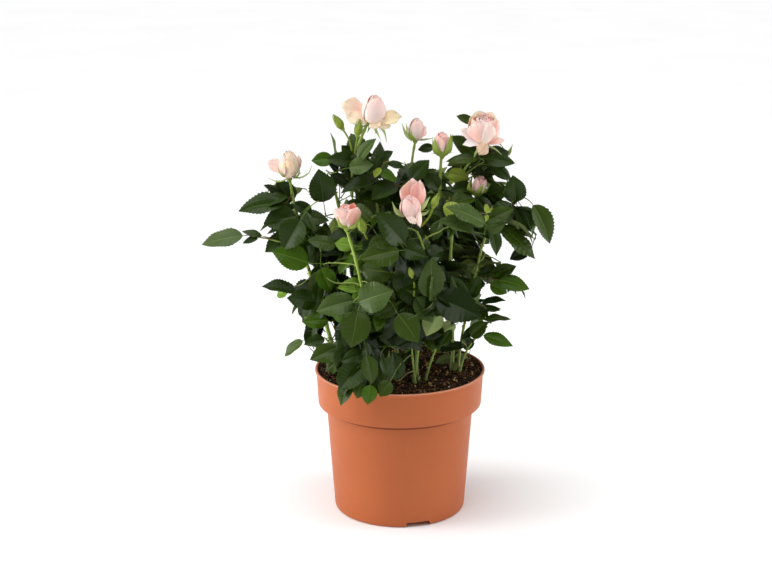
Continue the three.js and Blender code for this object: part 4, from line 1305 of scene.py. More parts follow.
# ---------------------------------------------------------------- the leaves
cover = []
for k in range(len(MASSES)):
    n = int(0.021 * (MH[k, 0] * MH[k, 1] + MH[k, 0] * MH[k, 2] + MH[k, 1] * MH[k, 2]) * 4.2 / 3)
    q = unit(rng.normal(size=(n, 3)))
    p = from_mass(q * 0.93, k)
    deep = from_mass(unit(rng.normal(size=(n // 3, 3))) * 0.5, k)
    f = in_mass(p)
    f[:, k] = 9
    cover.append(np.c_[p[f.min(1) > 0.97], np.full((f.min(1) > 0.97).sum(), 1.0)])
    cover.append(np.c_[deep, np.full(len(deep), 0.45)])
cover = np.vstack(cover)
cover = cover[cover[:, 2] > 163]
COVER_P, COVER_W = cover[:, :3], cover[:, 3]
covered = np.zeros(len(COVER_P))
print("cover points", len(COVER_P))

placed_c, placed_n = np.zeros((6000, 3)), np.zeros((6000, 3))
n_placed = 0
LEAVES = []             # every compound leaf: stalk path, leaflets, tone, mass


def leaf_layout(A, start, end, normal, Lt, pairs, petiole, curl=1.0):
    seg1, seg = 0.36 * Lt, 0.40 * Lt
    length = petiole + (seg1 + seg * (pairs - 1) if pairs else 0.10 * Lt)
    P3 = A + (start * 0.5 + end * 0.5) * length
    path = bezier(A, A + start * length / 3, P3 - end * length / 3, P3, 9)
    tang = unit(np.gradient(path, axis=0))
    leaflets = [dict(P=P3, along=end, normal=normal, L=Lt, W=Lt * rng.uniform(0.58, 0.70))]
    for j in range(pairs):
        d = seg1 + j * seg
        u = max(0.0, 1 - d / length) * 8
        i = int(min(7, math.floor(u)))
        f = u - i
        q, t = path[i] * (1 - f) + path[i + 1] * f, unit(tang[i] * (1 - f) + tang[i + 1] * f)
        n = across(normal, t)
        s = np.cross(t, n)
        for sign in (-1, 1):
            phi = math.radians(rng.uniform(52, 68) + 6 * j)
            along = unit(t * math.cos(phi) + s * sign * math.sin(phi) - n * rng.uniform(0.02, 0.26))
            L = Lt * (0.88, 0.72, 0.56)[j] * rng.uniform(0.93, 1.05)
            leaflets.append(dict(P=q + along * 1.3, along=along, normal=unit(n + s * sign * rng.uniform(-0.12, 0.3) + rng.normal(size=3) * 0.06), L=L, W=L * rng.uniform(0.57, 0.69), stalk=q))
    return path, leaflets


BOX_LO, BOX_HI = np.array(BOX_CAD[0]) * 1000 + [3, 3, 0], np.array(BOX_CAD[1]) * 1000 - [3, 3, 3]
GAP_XZ = np.array([g[:2] for g in OPENINGS], float)
GAP_R = np.array([g[2:] for g in OPENINGS], float)
lead_marks = []
# the blooms and buds stay in sight: centre, half width and half height as seen from the front
for c, hw, hh in BLOOM_MARKS:
    q, dq = seen_from_front(np.array([c], float))
    for k in (-0.8, 0.0, 0.8):
        lead_marks.append((q[0, 0], q[0, 1] + k * hh * 0.8, dq[0] - 2.0, hw * 0.95, 7.0))
for p, q in STALK_MARKS:
    for f in (0.1, 0.5, 0.9):
        c, dc = seen_from_front((np.array(p, float) * (1 - f) + np.array(q, float) * f)[None])
        lead_marks.append((c[0, 0], c[0, 1], dc[0] - 1.0, 5.0, 3.5))


def score(leaflets):
    P = np.array([l["P"] for l in leaflets])
    D = unit(np.array([l["along"] for l in leaflets]))
    L = np.array([l["L"] for l in leaflets])
    N = np.array([l["normal"] for l in leaflets])
    C, T = P + D * L[:, None] * 0.48, P + D * L[:, None]
    k = len(P)
    both = np.vstack([C, T])
    f = in_mass(both, 3.0)
    best = f.argmin(1)
    over = np.maximum(0, f.min(1) - 1) * MH[best].min(1)
    s = -0.30 * over[:k].sum() - 0.13 * over[k:].sum()
    if over[:k].max() > 11 or over[k:].max() > 22:
        return -99.0, None
    d = np.linalg.norm(COVER_P[None] - C[:, None], axis=2)
    hit = (d < 15.0).any(0)
    s += 0.55 * (COVER_W[hit] / (1 + covered[hit]) ** 1.6).sum()
    if n_placed:
        dd = np.linalg.norm(placed_c[None, :n_placed] - C[:, None], axis=2)
        al = np.abs(N @ placed_n[:n_placed].T)
        s -= 0.9 * ((dd < 9.5) * (1 - dd / 9.5) * (0.35 + al)).sum()
    W = np.array([l["W"] for l in leaflets])
    for f, wide in ((0.30, 0.30), (0.64, 0.30), (1.0, 0.0)):
        xz, dist = seen_from_front(P + D * L[:, None] * f)
        g = (((xz[:, None] - GAP_XZ[None]) / (GAP_R[None] + 1.0 + wide * W[:, None, None])) ** 2).sum(2)
        s -= 3.6 * (g < 1).sum() + 0.5 * ((g >= 1) & (g < 1.7)).sum()
    # inside the crown's own box
    past = np.maximum(0, both - BOX_HI).sum() + np.maximum(0, BOX_LO - both).sum()
    s -= 0.55 * past
    # clear of the pot, the soil and the ground in front
    r = np.hypot(both[:, 0], both[:, 1])
    low = (r < 92) & (both[:, 2] < soil_top(both[:, 0], both[:, 1]) + 4)
    wall = (r < 99) & (r > 84) & (both[:, 2] < 168)
    s -= 6.0 * low.sum() + 5.0 * wall.sum() + 3.0 * (both[:, 2] < 150).sum()
    if lead_marks:
        M = np.array(lead_marks)
        mid = np.vstack([P + D * L[:, None] * 0.3, P + D * L[:, None] * 0.72, P + D * L[:, None] * 0.98])
        q, dq = seen_from_front(mid)
        w = np.r_[L * 0.30, L * 0.30, L * 0.08]
        off = np.linalg.norm(q[:, None] - M[None, :, :2], axis=2)
        front = dq[:, None] < M[None, :, 2] + 1.0
        hide = np.clip(1 - off / (M[None, :, 3] + w[:, None]), 0, 1) * front
        s -= (hide * M[None, :, 4]).max(1).sum()
    return s, (C, N, hit)


def accept(info):
    global n_placed
    C, N, hit = info
    k = len(C)
    placed_c[n_placed:n_placed + k] = C
    placed_n[n_placed:n_placed + k] = unit(N)
    n_placed += k
    covered[hit] += 1


# the leading leaves first: each joins the nearest shoot or cane
JOIN_P = np.vstack([p for p, _ in SHOOTS] + [p for _, p, _ in ALL_LIMBS])
JOIN_P = JOIN_P[JOIN_P[:, 2] > 168]


def stalk_between(root, base, along, k=9):
    d = np.linalg.norm(base - root)
    return bezier(root, root + unit(unit(base - root) + 0.35 * UP) * d * 0.30, base - along * d * 0.26, base, k)


for tone, pairs, base, tip, width, tilt in LEADS:
    base, tip = np.array(base, float), np.array(tip, float)
    along, normal = lead_frame(base, tip, tilt)
    L = float(np.linalg.norm(tip - base))
    d = np.linalg.norm(JOIN_P - base, axis=1)
    behind = ((base - JOIN_P) * along).sum(1)
    cost = d + np.where(behind < 4, 26, 0) + np.maximum(0, 16 - d) * 1.5
    root = JOIN_P[cost.argmin()]
    path = stalk_between(root, base, along)
    arch = 0.32 + 0.3 * rng.random()
    # the arched blade still ends at its tip: turn its start up by half its arch
    leaflets = [dict(P=base, along=along, normal=normal, L=L * 1.02, W=width, arch=arch, lift=-arch * 0.5, twist=0.0, sweep=0.0)]
    if pairs and np.linalg.norm(base - root) > 14:
        t = unit(np.gradient(path, axis=0))
        arc = np.r_[0, np.cumsum(np.linalg.norm(np.diff(path, axis=0), axis=1))]
        n = across(normal, along)
        for j in range(1 if arc[-1] < 34 else 2):
            dd = 0.34 * L + j * 0.36 * L
            if dd > arc[-1] - 5:
                break
            u = np.interp(arc[-1] - dd, arc, np.arange(len(path)))
            i = int(min(len(path) - 2, u))
            q = path[i] + (path[i + 1] - path[i]) * (u - i)
            tt = t[i]
            nn = across(n, tt)
            s = np.cross(tt, nn)
            for sign in (-1, 1):
                phi = math.radians(rng.uniform(50, 66))
                al = unit(tt * math.cos(phi) + s * sign * math.sin(phi) - nn * rng.uniform(0.05, 0.3))
                Ls = min(L, 44) * (0.82, 0.66)[j] * rng.uniform(0.92, 1.05)
                leaflets.append(dict(P=q + al * 1.2, along=al, normal=unit(nn + s * sign * rng.uniform(-0.1, 0.3)), L=Ls, W=Ls * rng.uniform(0.62, 0.7), stalk=q))
    good = [leaflets[0]]
    for l in leaflets[1:]:
        s, info = score([l])
        if s > -1.6:
            good.append(l)
    C = np.array([l["P"] + unit(l["along"]) * l["L"] * 0.48 for l in good])
    N = np.array([l["normal"] for l in good])
    hit = (np.linalg.norm(COVER_P[None] - C[:, None], axis=2) < 15).any(0)
    accept((C, N, hit))
    for f in (0.25, 0.5, 0.75):
        q, dq = seen_from_front((base + (tip - base) * f)[None])
        lead_marks.append((q[0, 0], q[0, 1], dq[0], 0.42 * width * math.sin(math.pi * (f * 0.8 + 0.12)), 2.6))
    LEAVES.append(dict(path=path, leaflets=good, tone=tone, lead=True))


def try_leaf(A, stem, spin, fresh, tries=9, floor=0.9):
    """The best of several ways a leaf may leave this bud, or none if all of them are poor."""
    global n_placed
    n0 = across(np.array([0.3, 0.9, 0.1]) if abs(stem[1]) < 0.9 else np.array([1.0, 0, 0]), stem)
    b0 = np.cross(stem, n0)
    out = outward(A)
    best = (floor, None)
    for _ in range(tries):
        a = spin + rng.normal() * 0.75
        away = n0 * math.cos(a) + b0 * math.sin(a)
        away = unit(away + out * rng.uniform(0, 0.9))
        start = unit(stem * rng.uniform(0.25, 0.75) + away + UP * 0.15)
        droop = rng.uniform(0.05, 0.85)
        end = unit(start * 0.6 + out * rng.uniform(0.1, 0.6) - UP * droop + rng.normal(size=3) * 0.12)
        size = rng.uniform(30, 47) if not fresh else rng.uniform(19, 32)
        pairs = int(rng.choice([0, 1, 2, 3], p=[0.10, 0.42, 0.43, 0.05]))
        petiole = rng.uniform(9, 24)
        normal = across(unit(0.55 * UP + 0.75 * out + rng.normal(size=3) * 0.30), end)
        path, leaflets = leaf_layout(A, start, end, normal, size, pairs, petiole)
        s, info = score(leaflets)
        s = s / (0.6 + 0.4 * len(leaflets))
        if s > best[0]:
            best = (s, (path, leaflets, info))
    if best[1] is None:
        return False
    path, leaflets, info = best[1]
    accept(info)
    LEAVES.append(dict(path=path, leaflets=leaflets, fresh=fresh, lead=False))
    return True


sites = []
for path, rad in SHOOTS:
    arc = 2.6 * (len(path) - 1)
    t = unit(np.gradient(path, axis=0))
    spin = rng.random() * 6.28
    s = rng.uniform(5, 10)
    while s < arc:
        i = min(len(path) - 1, int(round(s / 2.6)))
        sites.append((path[i], t[i], spin, False))
        spin += 2 * math.pi * 0.4
        s += rng.uniform(9, 14)
    sites.append((path[-1], t[-1], spin, False))
    sites.append((path[-1], t[-1], spin + 2.5, rng.random() < 0.3))
for name, path, rad in ALL_LIMBS:
    t = unit(np.gradient(path, axis=0))
    for s, turn in NODES_ON[name]:
        i = int(s / 2)
        if path[i][2] > 182 and name.startswith("cane"):
            sites.append((path[i], t[i], turn, False))
order = rng.permutation(len(sites))
print("bud sites", len(sites))
for rnd, floor in enumerate((1.5, 0.9, 0.45)):
    for i in order:
        if n_placed > LEAFLET_LIMIT:
            break
        A, stem, spin, fresh = sites[i]
        if try_leaf(A, stem, spin + rnd * 2.1, fresh, 8, floor):
            pass
    print("round", rnd, "leaves", len(LEAVES), "leaflets", n_placed, "uncovered", float((covered == 0).mean()))


def tone_for(leaf):
    """Leaves deep inside the crown get the deep and dark tones, the rest are dealt lighter tones too, and a few young
    sprays fresh; the dark inner tones are partly the darker green of shade leaves and partly painted shade.
    """
    if leaf["lead"]:
        return leaf["tone"]
    p = leaf["leaflets"][0]["P"]
    f = in_mass(p[None])[0].min()
    r = rng.random()
    if leaf.get("fresh"):
        return "young" if r < 0.30 else "fresh" if r < 0.5 else "red" if r < 0.53 else "green"
    # painted shade in part: leaves inside the crown get only the darkest tones
    if f < 0.6:
        return "deep" if r < 0.6 else "dark"
    for name, upto in (("deep", 0.2), ("dark", 0.52), ("mid", 0.73), ("grey_sheen", 0.86), ("green", 0.93), ("olive", 0.98)):
        if r < upto:
            return name
    return "fresh"


piles = {}
stalks = Pile()
for leaf in LEAVES:
    C = np.mean([l["P"] + unit(l["along"]) * l["L"] * 0.5 for l in leaf["leaflets"]], axis=0)
    k = int(in_mass(C[None])[0].argmin())
    pile = piles.setdefault(MASSES[k][0], Pile())
    tone = tone_for(leaf)
    ti = TONE_NAMES.index(tone)
    near = {"deep": ["dark"], "dark": ["deep", "mid"], "mid": ["dark", "grey_sheen"], "grey_sheen": ["mid"], "green": ["mid"], "fresh": ["green"], "young": ["fresh"], "red": ["young"], "olive": ["green"]}[tone]
    tones = [ti if (leaf["lead"] and j == 0) or rng.random() < 0.8 else TONE_NAMES.index(near[int(rng.integers(len(near)))]) for j in range(len(leaf["leaflets"]))]
    add_leaflets(pile, leaf["leaflets"], tones)
    path = leaf["path"]
    red = tone in ("young", "red") or rng.random() < 0.22
    mat = M_STALK_RED if red else M_STALK
    tube(stalks, path, np.linspace(0.66, 0.40, len(path)), sides=5, mat=mat)
    for l in leaf["leaflets"]:
        if "stalk" in l:
            tube(stalks, np.array([l["stalk"], l["stalk"] + (l["P"] - l["stalk"]) * 0.5, l["P"] + unit(l["along"]) * 1.2]), [0.42, 0.4, 0.34], sides=4, mat=mat)
    # the pair of stipules that clasp the foot of the stalk
    t0 = unit(path[1] - path[0])
    n0 = across(UP + 0.01, t0)
    s0 = np.cross(t0, n0)
    for sign in (-1, 1):
        w, ln = 0.9, rng.uniform(3.0, 4.6)
        pts = [path[0], path[0] + t0 * ln * 0.55 + s0 * sign * w, path[0] + t0 * ln + s0 * sign * w * 1.5 + n0 * 0.5, path[0] + t0 * ln * 0.8 + s0 * sign * 0.3]
        low = [q - n0 * 0.28 for q in pts]
        v = np.array(pts + low)
        tris = [(0, 1, 3), (1, 2, 3), (4, 7, 5), (5, 7, 6)]
        quads = [(0, 4, 5, 1), (1, 5, 6, 2), (2, 6, 7, 3), (3, 7, 4, 0)]
        if sign > 0:
            tris, quads = [t[::-1] for t in tris], [q[::-1] for q in quads]
        stalks.add(v, tris=tris, quads=quads, mt=M_STALK, mq=M_STALK)

total = 0
for name, *_ in MASSES:
    if name not in piles:
        raise SystemExit(f"no leaf grew in {name}")
    total += piles[name].triangles()
    if piles[name].triangles() > 190000:
        raise SystemExit(f"{name} has too many leaf triangles")
    piles[name].mesh("leaves_" + name.replace("foliage_", ""), LEAF_MATS, slot="leaf", stands_for=[name], sharp=9)
stalks.mesh("leaf_stalks", LEAF_MATS, slot="leaf", sharp=60)
# a shoot is cut back to the last leaf or side shoot on it, and a bare one is left out
feet = np.array([leaf["path"][0] for leaf in LEAVES])
owner, last = {}, []
for k, run in enumerate(CHAINS):
    for j, node in enumerate(run[1:], 1):
        owner[node] = (k, j)
    path = SHOOTS[k][0]
    on = np.flatnonzero(np.linalg.norm(path[:, None] - feet[None], axis=2).min(1) < 0.3)
    last.append(min(int(on[-1]) + 1, len(path) - 1) if len(on) else 0)
for k in sorted(range(len(CHAINS)), key=lambda q: -CHAINS[q][1]):
    if last[k] and CHAINS[k][0] in owner:
        up, j = owner[CHAINS[k][0]]
        reach = math.ceil(j * (len(SHOOTS[up][0]) - 1) / (len(CHAINS[up]) - 1))
        last[up] = max(last[up], int(reach))
twigs = Pile()
for k, (path, rad) in enumerate(SHOOTS):
    ph, tint = rng.random() * 6.28, rng.uniform(0, 0.5)
    t = unit(np.gradient(path, axis=0))
    spots = [(int(rng.integers(1, len(path) - 1)), rng.normal(size=3), rng.uniform(1.2, 2.2)) for _ in range(int(len(path) / 14))]
    if not last[k]:
        continue
    path, rad = path[: last[k] + 1], rad[: last[k] + 1]
    h = np.clip((path[:, 2] - 156) / 190, 0, 1)
    tube(twigs, path, rad + 0.08 * np.sin(np.arange(len(path)) * 1.9 + ph), sides=7, age=np.clip(0.90 - 0.35 * h, 0, 1), blush=np.full(len(path), tint))
    for i, way, size in spots:
        if i < last[k]:
            o = across(way, t[i])
            prickle(twigs, path[i] + o * rad[i] * 0.9, o, -t[i], size, 0.2)
print("shoots", len(SHOOTS), "kept", sum(1 for q in last if q), "points", sum(len(q[0]) for q in SHOOTS), "kept", sum(q + 1 for q in last if q))
twigs.mesh("side_shoots", [BARK_MAT], slot="cane_bark", sharp=60)
print("leaf triangles", total, "stalks", stalks.triangles(), "twigs", twigs.triangles())

# ---------------------------------------------------------------- blooms
PINK, BLUSH_C, CORAL = np.array(srgb(255, 186, 176)[:3]), np.array(srgb(255, 221, 210)[:3]), np.array(srgb(244, 128, 112)[:3])
CREAM, TAN, LIME = np.array(srgb(254, 229, 191)[:3]), np.array(srgb(224, 194, 138)[:3]), np.array(srgb(210, 214, 138)[:3])
DUSTY, APRICOT, FAWN, MILK = (np.array(srgb(*c)[:3]) for c in ((236, 198, 178), (255, 212, 168), (214, 168, 134), (255, 238, 232)))


def basis(axis, spin=0.0):
    """A turned frame whose third axis is the bloom's own."""
    a = unit(axis)
    x = across(np.array([1.0, 0, 0]) if abs(a[0]) < 0.9 else np.array([0, 1.0, 0]), a)
    y = np.cross(a, x)
    c, s = math.cos(spin), math.sin(spin)
    return np.stack([x * c + y * s, -x * s + y * c, a])


def petal_tint(u, v, ve, colours, ph, band=0.40):
    """Foot, belly, lip and edge colours over one petal."""
    foot_c, belly, lip, edge = (np.asarray(c) for c in colours)
    w0 = (1 - smooth01(0.04, 0.26, v))[..., None]
    w1 = smooth01(0.45, 1.0, ve)[..., None]
    col = belly * (1 - w1) + lip * w1
    col = col * (1 - w0) + foot_c * w0
    we = (smooth01(0.72, 1.0, np.abs(u)) * smooth01(0.25, 0.7, v))[..., None] * 0.6 + (smooth01(0.90 - 0.12 * (band > 0.5), 1.0, v) + 0 * u)[..., None] * band
    col = col * (1 - np.clip(we, 0, 1)) + edge * np.clip(we, 0, 1)
    return np.clip(col * (1 + 0.03 * np.sin(9 * u + ph[1] + 4 * v)[..., None] + 0.02 * np.sin(23 * u + ph[2])[..., None]), 0, 1)


def skin(pile, P, v, col, thick):
    """The closed thin solid about a petal's surface: P is (rows, columns, 3)."""
    nv, nu = P.shape[:2]
    N = unit(np.cross(np.gradient(P, axis=1), np.gradient(P, axis=0)))
    k = thick * (1 - 0.45 * v[..., None])
    outer, inner = P + N * k * 0.5, P - N * k * 0.5
    inner[:, 0], inner[:, -1] = outer[:, 0], outer[:, -1]
    inner[-1] = outer[-1]
    V = np.concatenate([outer.reshape(-1, 3), inner.reshape(-1, 3)])
    nn = nu * nv
    O = lambda i, j: i * nu + j
    quads, tris = [], []

    def I(i, j):
        return O(i, j) if (j == 0 or j == nu - 1 or i == nv - 1) else nn + O(i, j)
    for i in range(nv - 1):
        for j in range(nu - 1):
            quads.append((O(i, j), O(i, j + 1), O(i + 1, j + 1), O(i + 1, j)))
            quads.append((I(i, j), I(i + 1, j), I(i + 1, j + 1), I(i, j + 1)))
    for j in range(nu - 1):     # close the foot
        a, b, c, d = O(0, j), O(0, j + 1), I(0, j + 1), I(0, j)
        if a == d:
            tris.append((a, c, b))
        elif b == c:
            tris.append((a, d, b))
        else:
            quads.append((a, d, c, b))
    used = np.unique(np.concatenate([np.array(quads).ravel(), np.array(tris).ravel()]).astype(int))
    lut = np.full(len(V), -1)
    lut[used] = np.arange(len(used))
    C = np.concatenate([col.reshape(-1, 3)] * 2)
    pile.add(V[used], tris=lut[np.array(tris)] if tris else None, quads=lut[np.array(quads)], tint=C[used])


def petal(pile, base, frame3, theta, prof, half, spiral, ripple, cusp, colours, drop=0.22, nu=13, nv=12, thick=0.34, band=0.40):
    """One petal wrapped about the bloom. prof: radius and height from its foot to its lip; half:
    half the angle that it wraps; colours: foot, belly, lip, edge."""
    u = np.linspace(-1, 1, nu)[None, :]
    v = np.linspace(0, 1, nv)[:, None]
    ve = v * (1 - drop * u ** 2 - 0.10 * u ** 6)
    prof = np.asarray(prof, float)
    fine = spline(np.c_[prof, np.zeros(len(prof))], 0.25)
    fs = np.r_[0, np.cumsum(np.linalg.norm(np.diff(fine, axis=0), axis=1))]
    fs /= fs[-1]
    r = np.interp(ve, fs, fine[:, 0])
    z = np.interp(ve, fs, fine[:, 1])
    g = 0.30 + 0.70 * np.sin(np.clip(v * 1.25, 0, 1) * math.pi / 2) ** 0.8
    ph = rng.random(3) * 6.28
    ang = theta + half * g * u + 0.04 * np.sin(3 * v + ph[0])
    scale = r.max()
    r = r + spiral * u * scale * smooth01(0.1, 0.6, v)
    r = r + ripple * scale * np.sin(2.6 * math.pi * u + ph[1]) * v ** 3 + 0.5 * ripple * scale * np.sin(5.2 * math.pi * u + ph[2]) * v ** 5
    r = r + cusp * scale * np.exp(-(u / 0.20) ** 2) * v ** 7
    z = z + 0.5 * cusp * scale * np.exp(-(u / 0.16) ** 2) * v ** 8 + 0.25 * ripple * scale * np.sin(3.9 * math.pi * u + ph[0]) * v ** 3
    r = np.maximum(r, 0.15)
    P = np.stack([r * np.cos(ang), r * np.sin(ang), z], -1) @ frame3 + base
    skin(pile, P, v, petal_tint(u, v, ve, colours, ph, band), thick)


def loose_petal(pile, foot, tip, face, width, colours, curl=0.5, cup=0.12, ruffle=0.04, cusp=0.05, crease=0.0, nu=15, nv=14, thick=0.36, narrow=0.34):
    """A petal that has fallen open: laid out by its foot, its tip and the way its inner side
    faces. curl: how far its lip rolls back; cup: how hollow it is; crease: a fold down its middle."""
    foot, tip = np.array(foot, float), np.array(tip, float)
    along = unit(tip - foot)
    L = float(np.linalg.norm(tip - foot))
    n = across(np.array(face, float), along)
    s = np.cross(along, n)
    u = np.linspace(-1, 1, nu)[None, :]
    v = np.linspace(0, 1, nv)[:, None]
    w = 0.5 * width * (narrow + (1 - narrow) * np.sin(np.clip(v * 1.22, 0, 1) * math.pi / 2) ** 1.2)
    w = w * np.sqrt(np.clip(1 - (np.clip(v - 0.70, 0, 1) / 0.38) ** 2, 0.04, 1))
    ve = v * (1 - 0.13 * u ** 2)
    fine = np.linspace(0, 1, 60)
    a = curl * fine ** 2.2 - 0.25 * curl
    y0 = np.r_[0, np.cumsum(np.cos(a[1:]) / 59)]
    z0 = np.r_[0, np.cumsum(-np.sin(a[1:]) / 59)]
    turn = math.atan2(z0[-1], y0[-1])
    size = math.hypot(y0[-1], z0[-1])
    y1, z1 = (y0 * math.cos(turn) + z0 * math.sin(turn)) / size, (-y0 * math.sin(turn) + z0 * math.cos(turn)) / size
    ph = rng.random(3) * 6.28
    y = L * np.interp(ve, fine, y1) + cusp * L * np.exp(-(u / 0.2) ** 2) * v ** 6
    z = L * np.interp(ve, fine, z1) + cup * width * (u ** 2 - 0.35) * v ** 0.6 * (1 - 0.35 * v)
    z = z + ruffle * width * (np.sin(2.4 * math.pi * u + ph[0]) * v ** 3 + np.sin(4.4 * math.pi * v + ph[1]) * np.abs(u) ** 3)
    z = z - crease * width * np.exp(-(u / 0.22) ** 2) * np.sin(np.clip(v * 1.1, 0, 1) * math.pi)
    x = u * w * (1 + 0.05 * np.sin(5 * v + ph[2]))
    P = foot + x[..., None] * s + y[..., None] * along + z[..., None] * n
    skin(pile, P, v, petal_tint(u, v, ve, colours, ph), thick)


def sepal_strip(pile, mid, nrm, w, foot, tip):
    """The body of a sepal: its centre line, its normals and its half widths."""
    n = len(mid)
    t = unit(np.gradient(mid, axis=0))
    side = np.cross(t, nrm)
    rows = []
    for k in range(n):
        rows.append([mid[k] - side[k] * w[k] + nrm[k] * 0.25 * w[k], mid[k] - side[k] * w[k] * 0.45, mid[k] + side[k] * w[k] * 0.45, mid[k] + side[k] * w[k] + nrm[k] * 0.25 * w[k],
                     mid[k] + side[k] * w[k] * 0.45 - nrm[k] * 0.42, mid[k] - side[k] * w[k] * 0.45 - nrm[k] * 0.42])
    v = np.array(rows).reshape(-1, 3)
    quads, mq = [], []
    for k in range(n - 1):
        for c in range(6):
            d = (c + 1) % 6
            quads.append((k * 6 + c, k * 6 + d, (k + 1) * 6 + d, (k + 1) * 6 + c))
            mq.append(M_SEPAL_IN if c < 3 else M_SEPAL)
    v = np.vstack([v, foot, tip])
    tris = [(n * 6, (c + 1) % 6, c) for c in range(6)] + [(n * 6 + 1, (n - 1) * 6 + c, (n - 1) * 6 + (c + 1) % 6) for c in range(6)]
    pile.add(v, tris=tris, quads=quads, mt=M_SEPAL, mq=mq)
    for sign in (-1, 1):        # little side lobes, as roses have
        if rng.random() < 0.5:
            k = int(rng.integers(n // 4, n // 2 + 1))
            a0 = mid[k] + side[k] * sign * w[k] * 0.8
            d = unit(side[k] * sign + t[k] * 0.9)
            tube(pile, np.array([a0, a0 + d * 1.4, a0 + d * 2.6 + t[k] * 0.5]), [0.42, 0.3, 0.1], sides=4, mat=M_SEPAL)


def sepal(pile, base, frame3, theta, r0, length, width, hold):
    """A long green sepal. hold: 1 clasps the bud, 0 stands out level, below 0 it is turned down."""
    radial = frame3[0] * math.cos(theta) + frame3[1] * math.sin(theta)
    axis = frame3[2]
    rise = math.radians(8 + 74 * hold) if hold >= 0 else math.radians(8 + 60 * hold)
    along = unit(radial * math.cos(rise) + axis * math.sin(rise))
    normal = across(axis * 0.6 - radial * hold, along)
    P = base + radial * r0
    n = 8
    arch = (0.9 if hold < 0.3 else -0.55) * rng.uniform(0.8, 1.4)
    t = np.linspace(0, 1, n)
    w = width * 0.5 * np.clip(1.15 * (1 - t) ** 0.75 * (0.55 + 1.6 * t * (1 - t)), 0.12, 1)
    a = arch * t
    mid = P + along * (length * np.sin(a) / arch)[:, None] + normal * (length * (np.cos(a) - 1) / arch)[:, None]
    nrm = unit(normal * np.cos(a)[:, None] + along * np.sin(a)[:, None])
    sepal_strip(pile, mid, nrm, w, P - along * 0.3, mid[-1] + unit(mid[-1] - mid[-2]) * 1.2)


def sepal_along(pile, pts, width, face):
    """A sepal laid along the given points, its inner side facing the given way."""
    mid = spline(np.array(pts, float), 1.5)
    t = unit(np.gradient(mid, axis=0))
    nrm = across(np.array(face, float), t)
    q = np.linspace(0, 1, len(mid))
    w = width * 0.5 * np.clip(1.2 * (1 - q) ** 0.7 * (0.62 + 1.5 * q * (1 - q)), 0.10, 1)
    sepal_strip(pile, mid, nrm, w, mid[0] - t[0] * 0.3, mid[-1] + t[-1] * 1.2)


def receptacle(pile, base, frame3, radius, depth):
    """The round green cup under the petals, running down into the stalk."""
    prof = [(0.0, -depth), (0.42 * radius, -depth), (0.55 * radius, -0.82 * depth), (0.92 * radius, -0.5 * depth), (1.0 * radius, -0.25 * depth), (0.93 * radius, -0.02 * depth), (0.7 * radius, 0.10 * depth), (0.0, 0.16 * depth)]
    sub = Pile()
    lathe(sub, subdivided(np.array(prof), 1.2), 16)
    pile.add(np.vstack(sub.v) @ frame3 + base, tris=np.vstack(sub.t), quads=np.vstack(sub.q), mt=M_SEPAL, mq=M_SEPAL)


TINTS = {       # foot, belly, lip and edge of the loose petals
    "dusty": (CREAM, DUSTY * 0.7 + BLUSH_C * 0.3, DUSTY * 0.45 + CREAM * 0.55, CREAM * 0.8 + TAN * 0.2),
    "tan":   (CREAM, CREAM * 0.62 + TAN * 0.38, TAN * 0.55 + CREAM * 0.45, TAN * 0.7 + CREAM * 0.3),
    "cream": (LIME * 0.2 + CREAM * 0.8, CREAM * 0.75 + BLUSH_C * 0.25, CREAM * 0.85 + TAN * 0.15, CREAM * 0.6 + TAN * 0.4),
    "pink":  (CREAM, PINK * 0.75 + BLUSH_C * 0.25, BLUSH_C * 0.7 + PINK * 0.3, BLUSH_C),
    "rose":  (BLUSH_C, PINK * 0.86 + CORAL * 0.14, PINK * 0.7 + BLUSH_C * 0.3, BLUSH_C * 0.8 + PINK * 0.2),
    "pale":  (CREAM, BLUSH_C, BLUSH_C * 0.8 + PINK * 0.2, CREAM * 0.5 + BLUSH_C * 0.5),
    "milk":  (CREAM, MILK, MILK * 0.8 + BLUSH_C * 0.2, BLUSH_C * 0.5 + MILK * 0.5),
    "deep":  (BLUSH_C, PINK * 0.7 + CORAL * 0.3, PINK * 0.8 + CORAL * 0.12, PINK * 0.5 + BLUSH_C * 0.5),
    "coral": (PINK, CORAL * 0.75 + PINK * 0.25, CORAL * 0.6 + PINK * 0.4, PINK),
    "fawn":  (CREAM, FAWN * 0.8 + BLUSH_C * 0.2, FAWN * 0.75 + TAN * 0.25, TAN * 0.8 + FAWN * 0.2),
    "apricot": (BLUSH_C * 0.5 + PINK * 0.5, APRICOT * 0.6 + BLUSH_C * 0.4, APRICOT * 0.8 + CREAM * 0.2, CREAM),
}


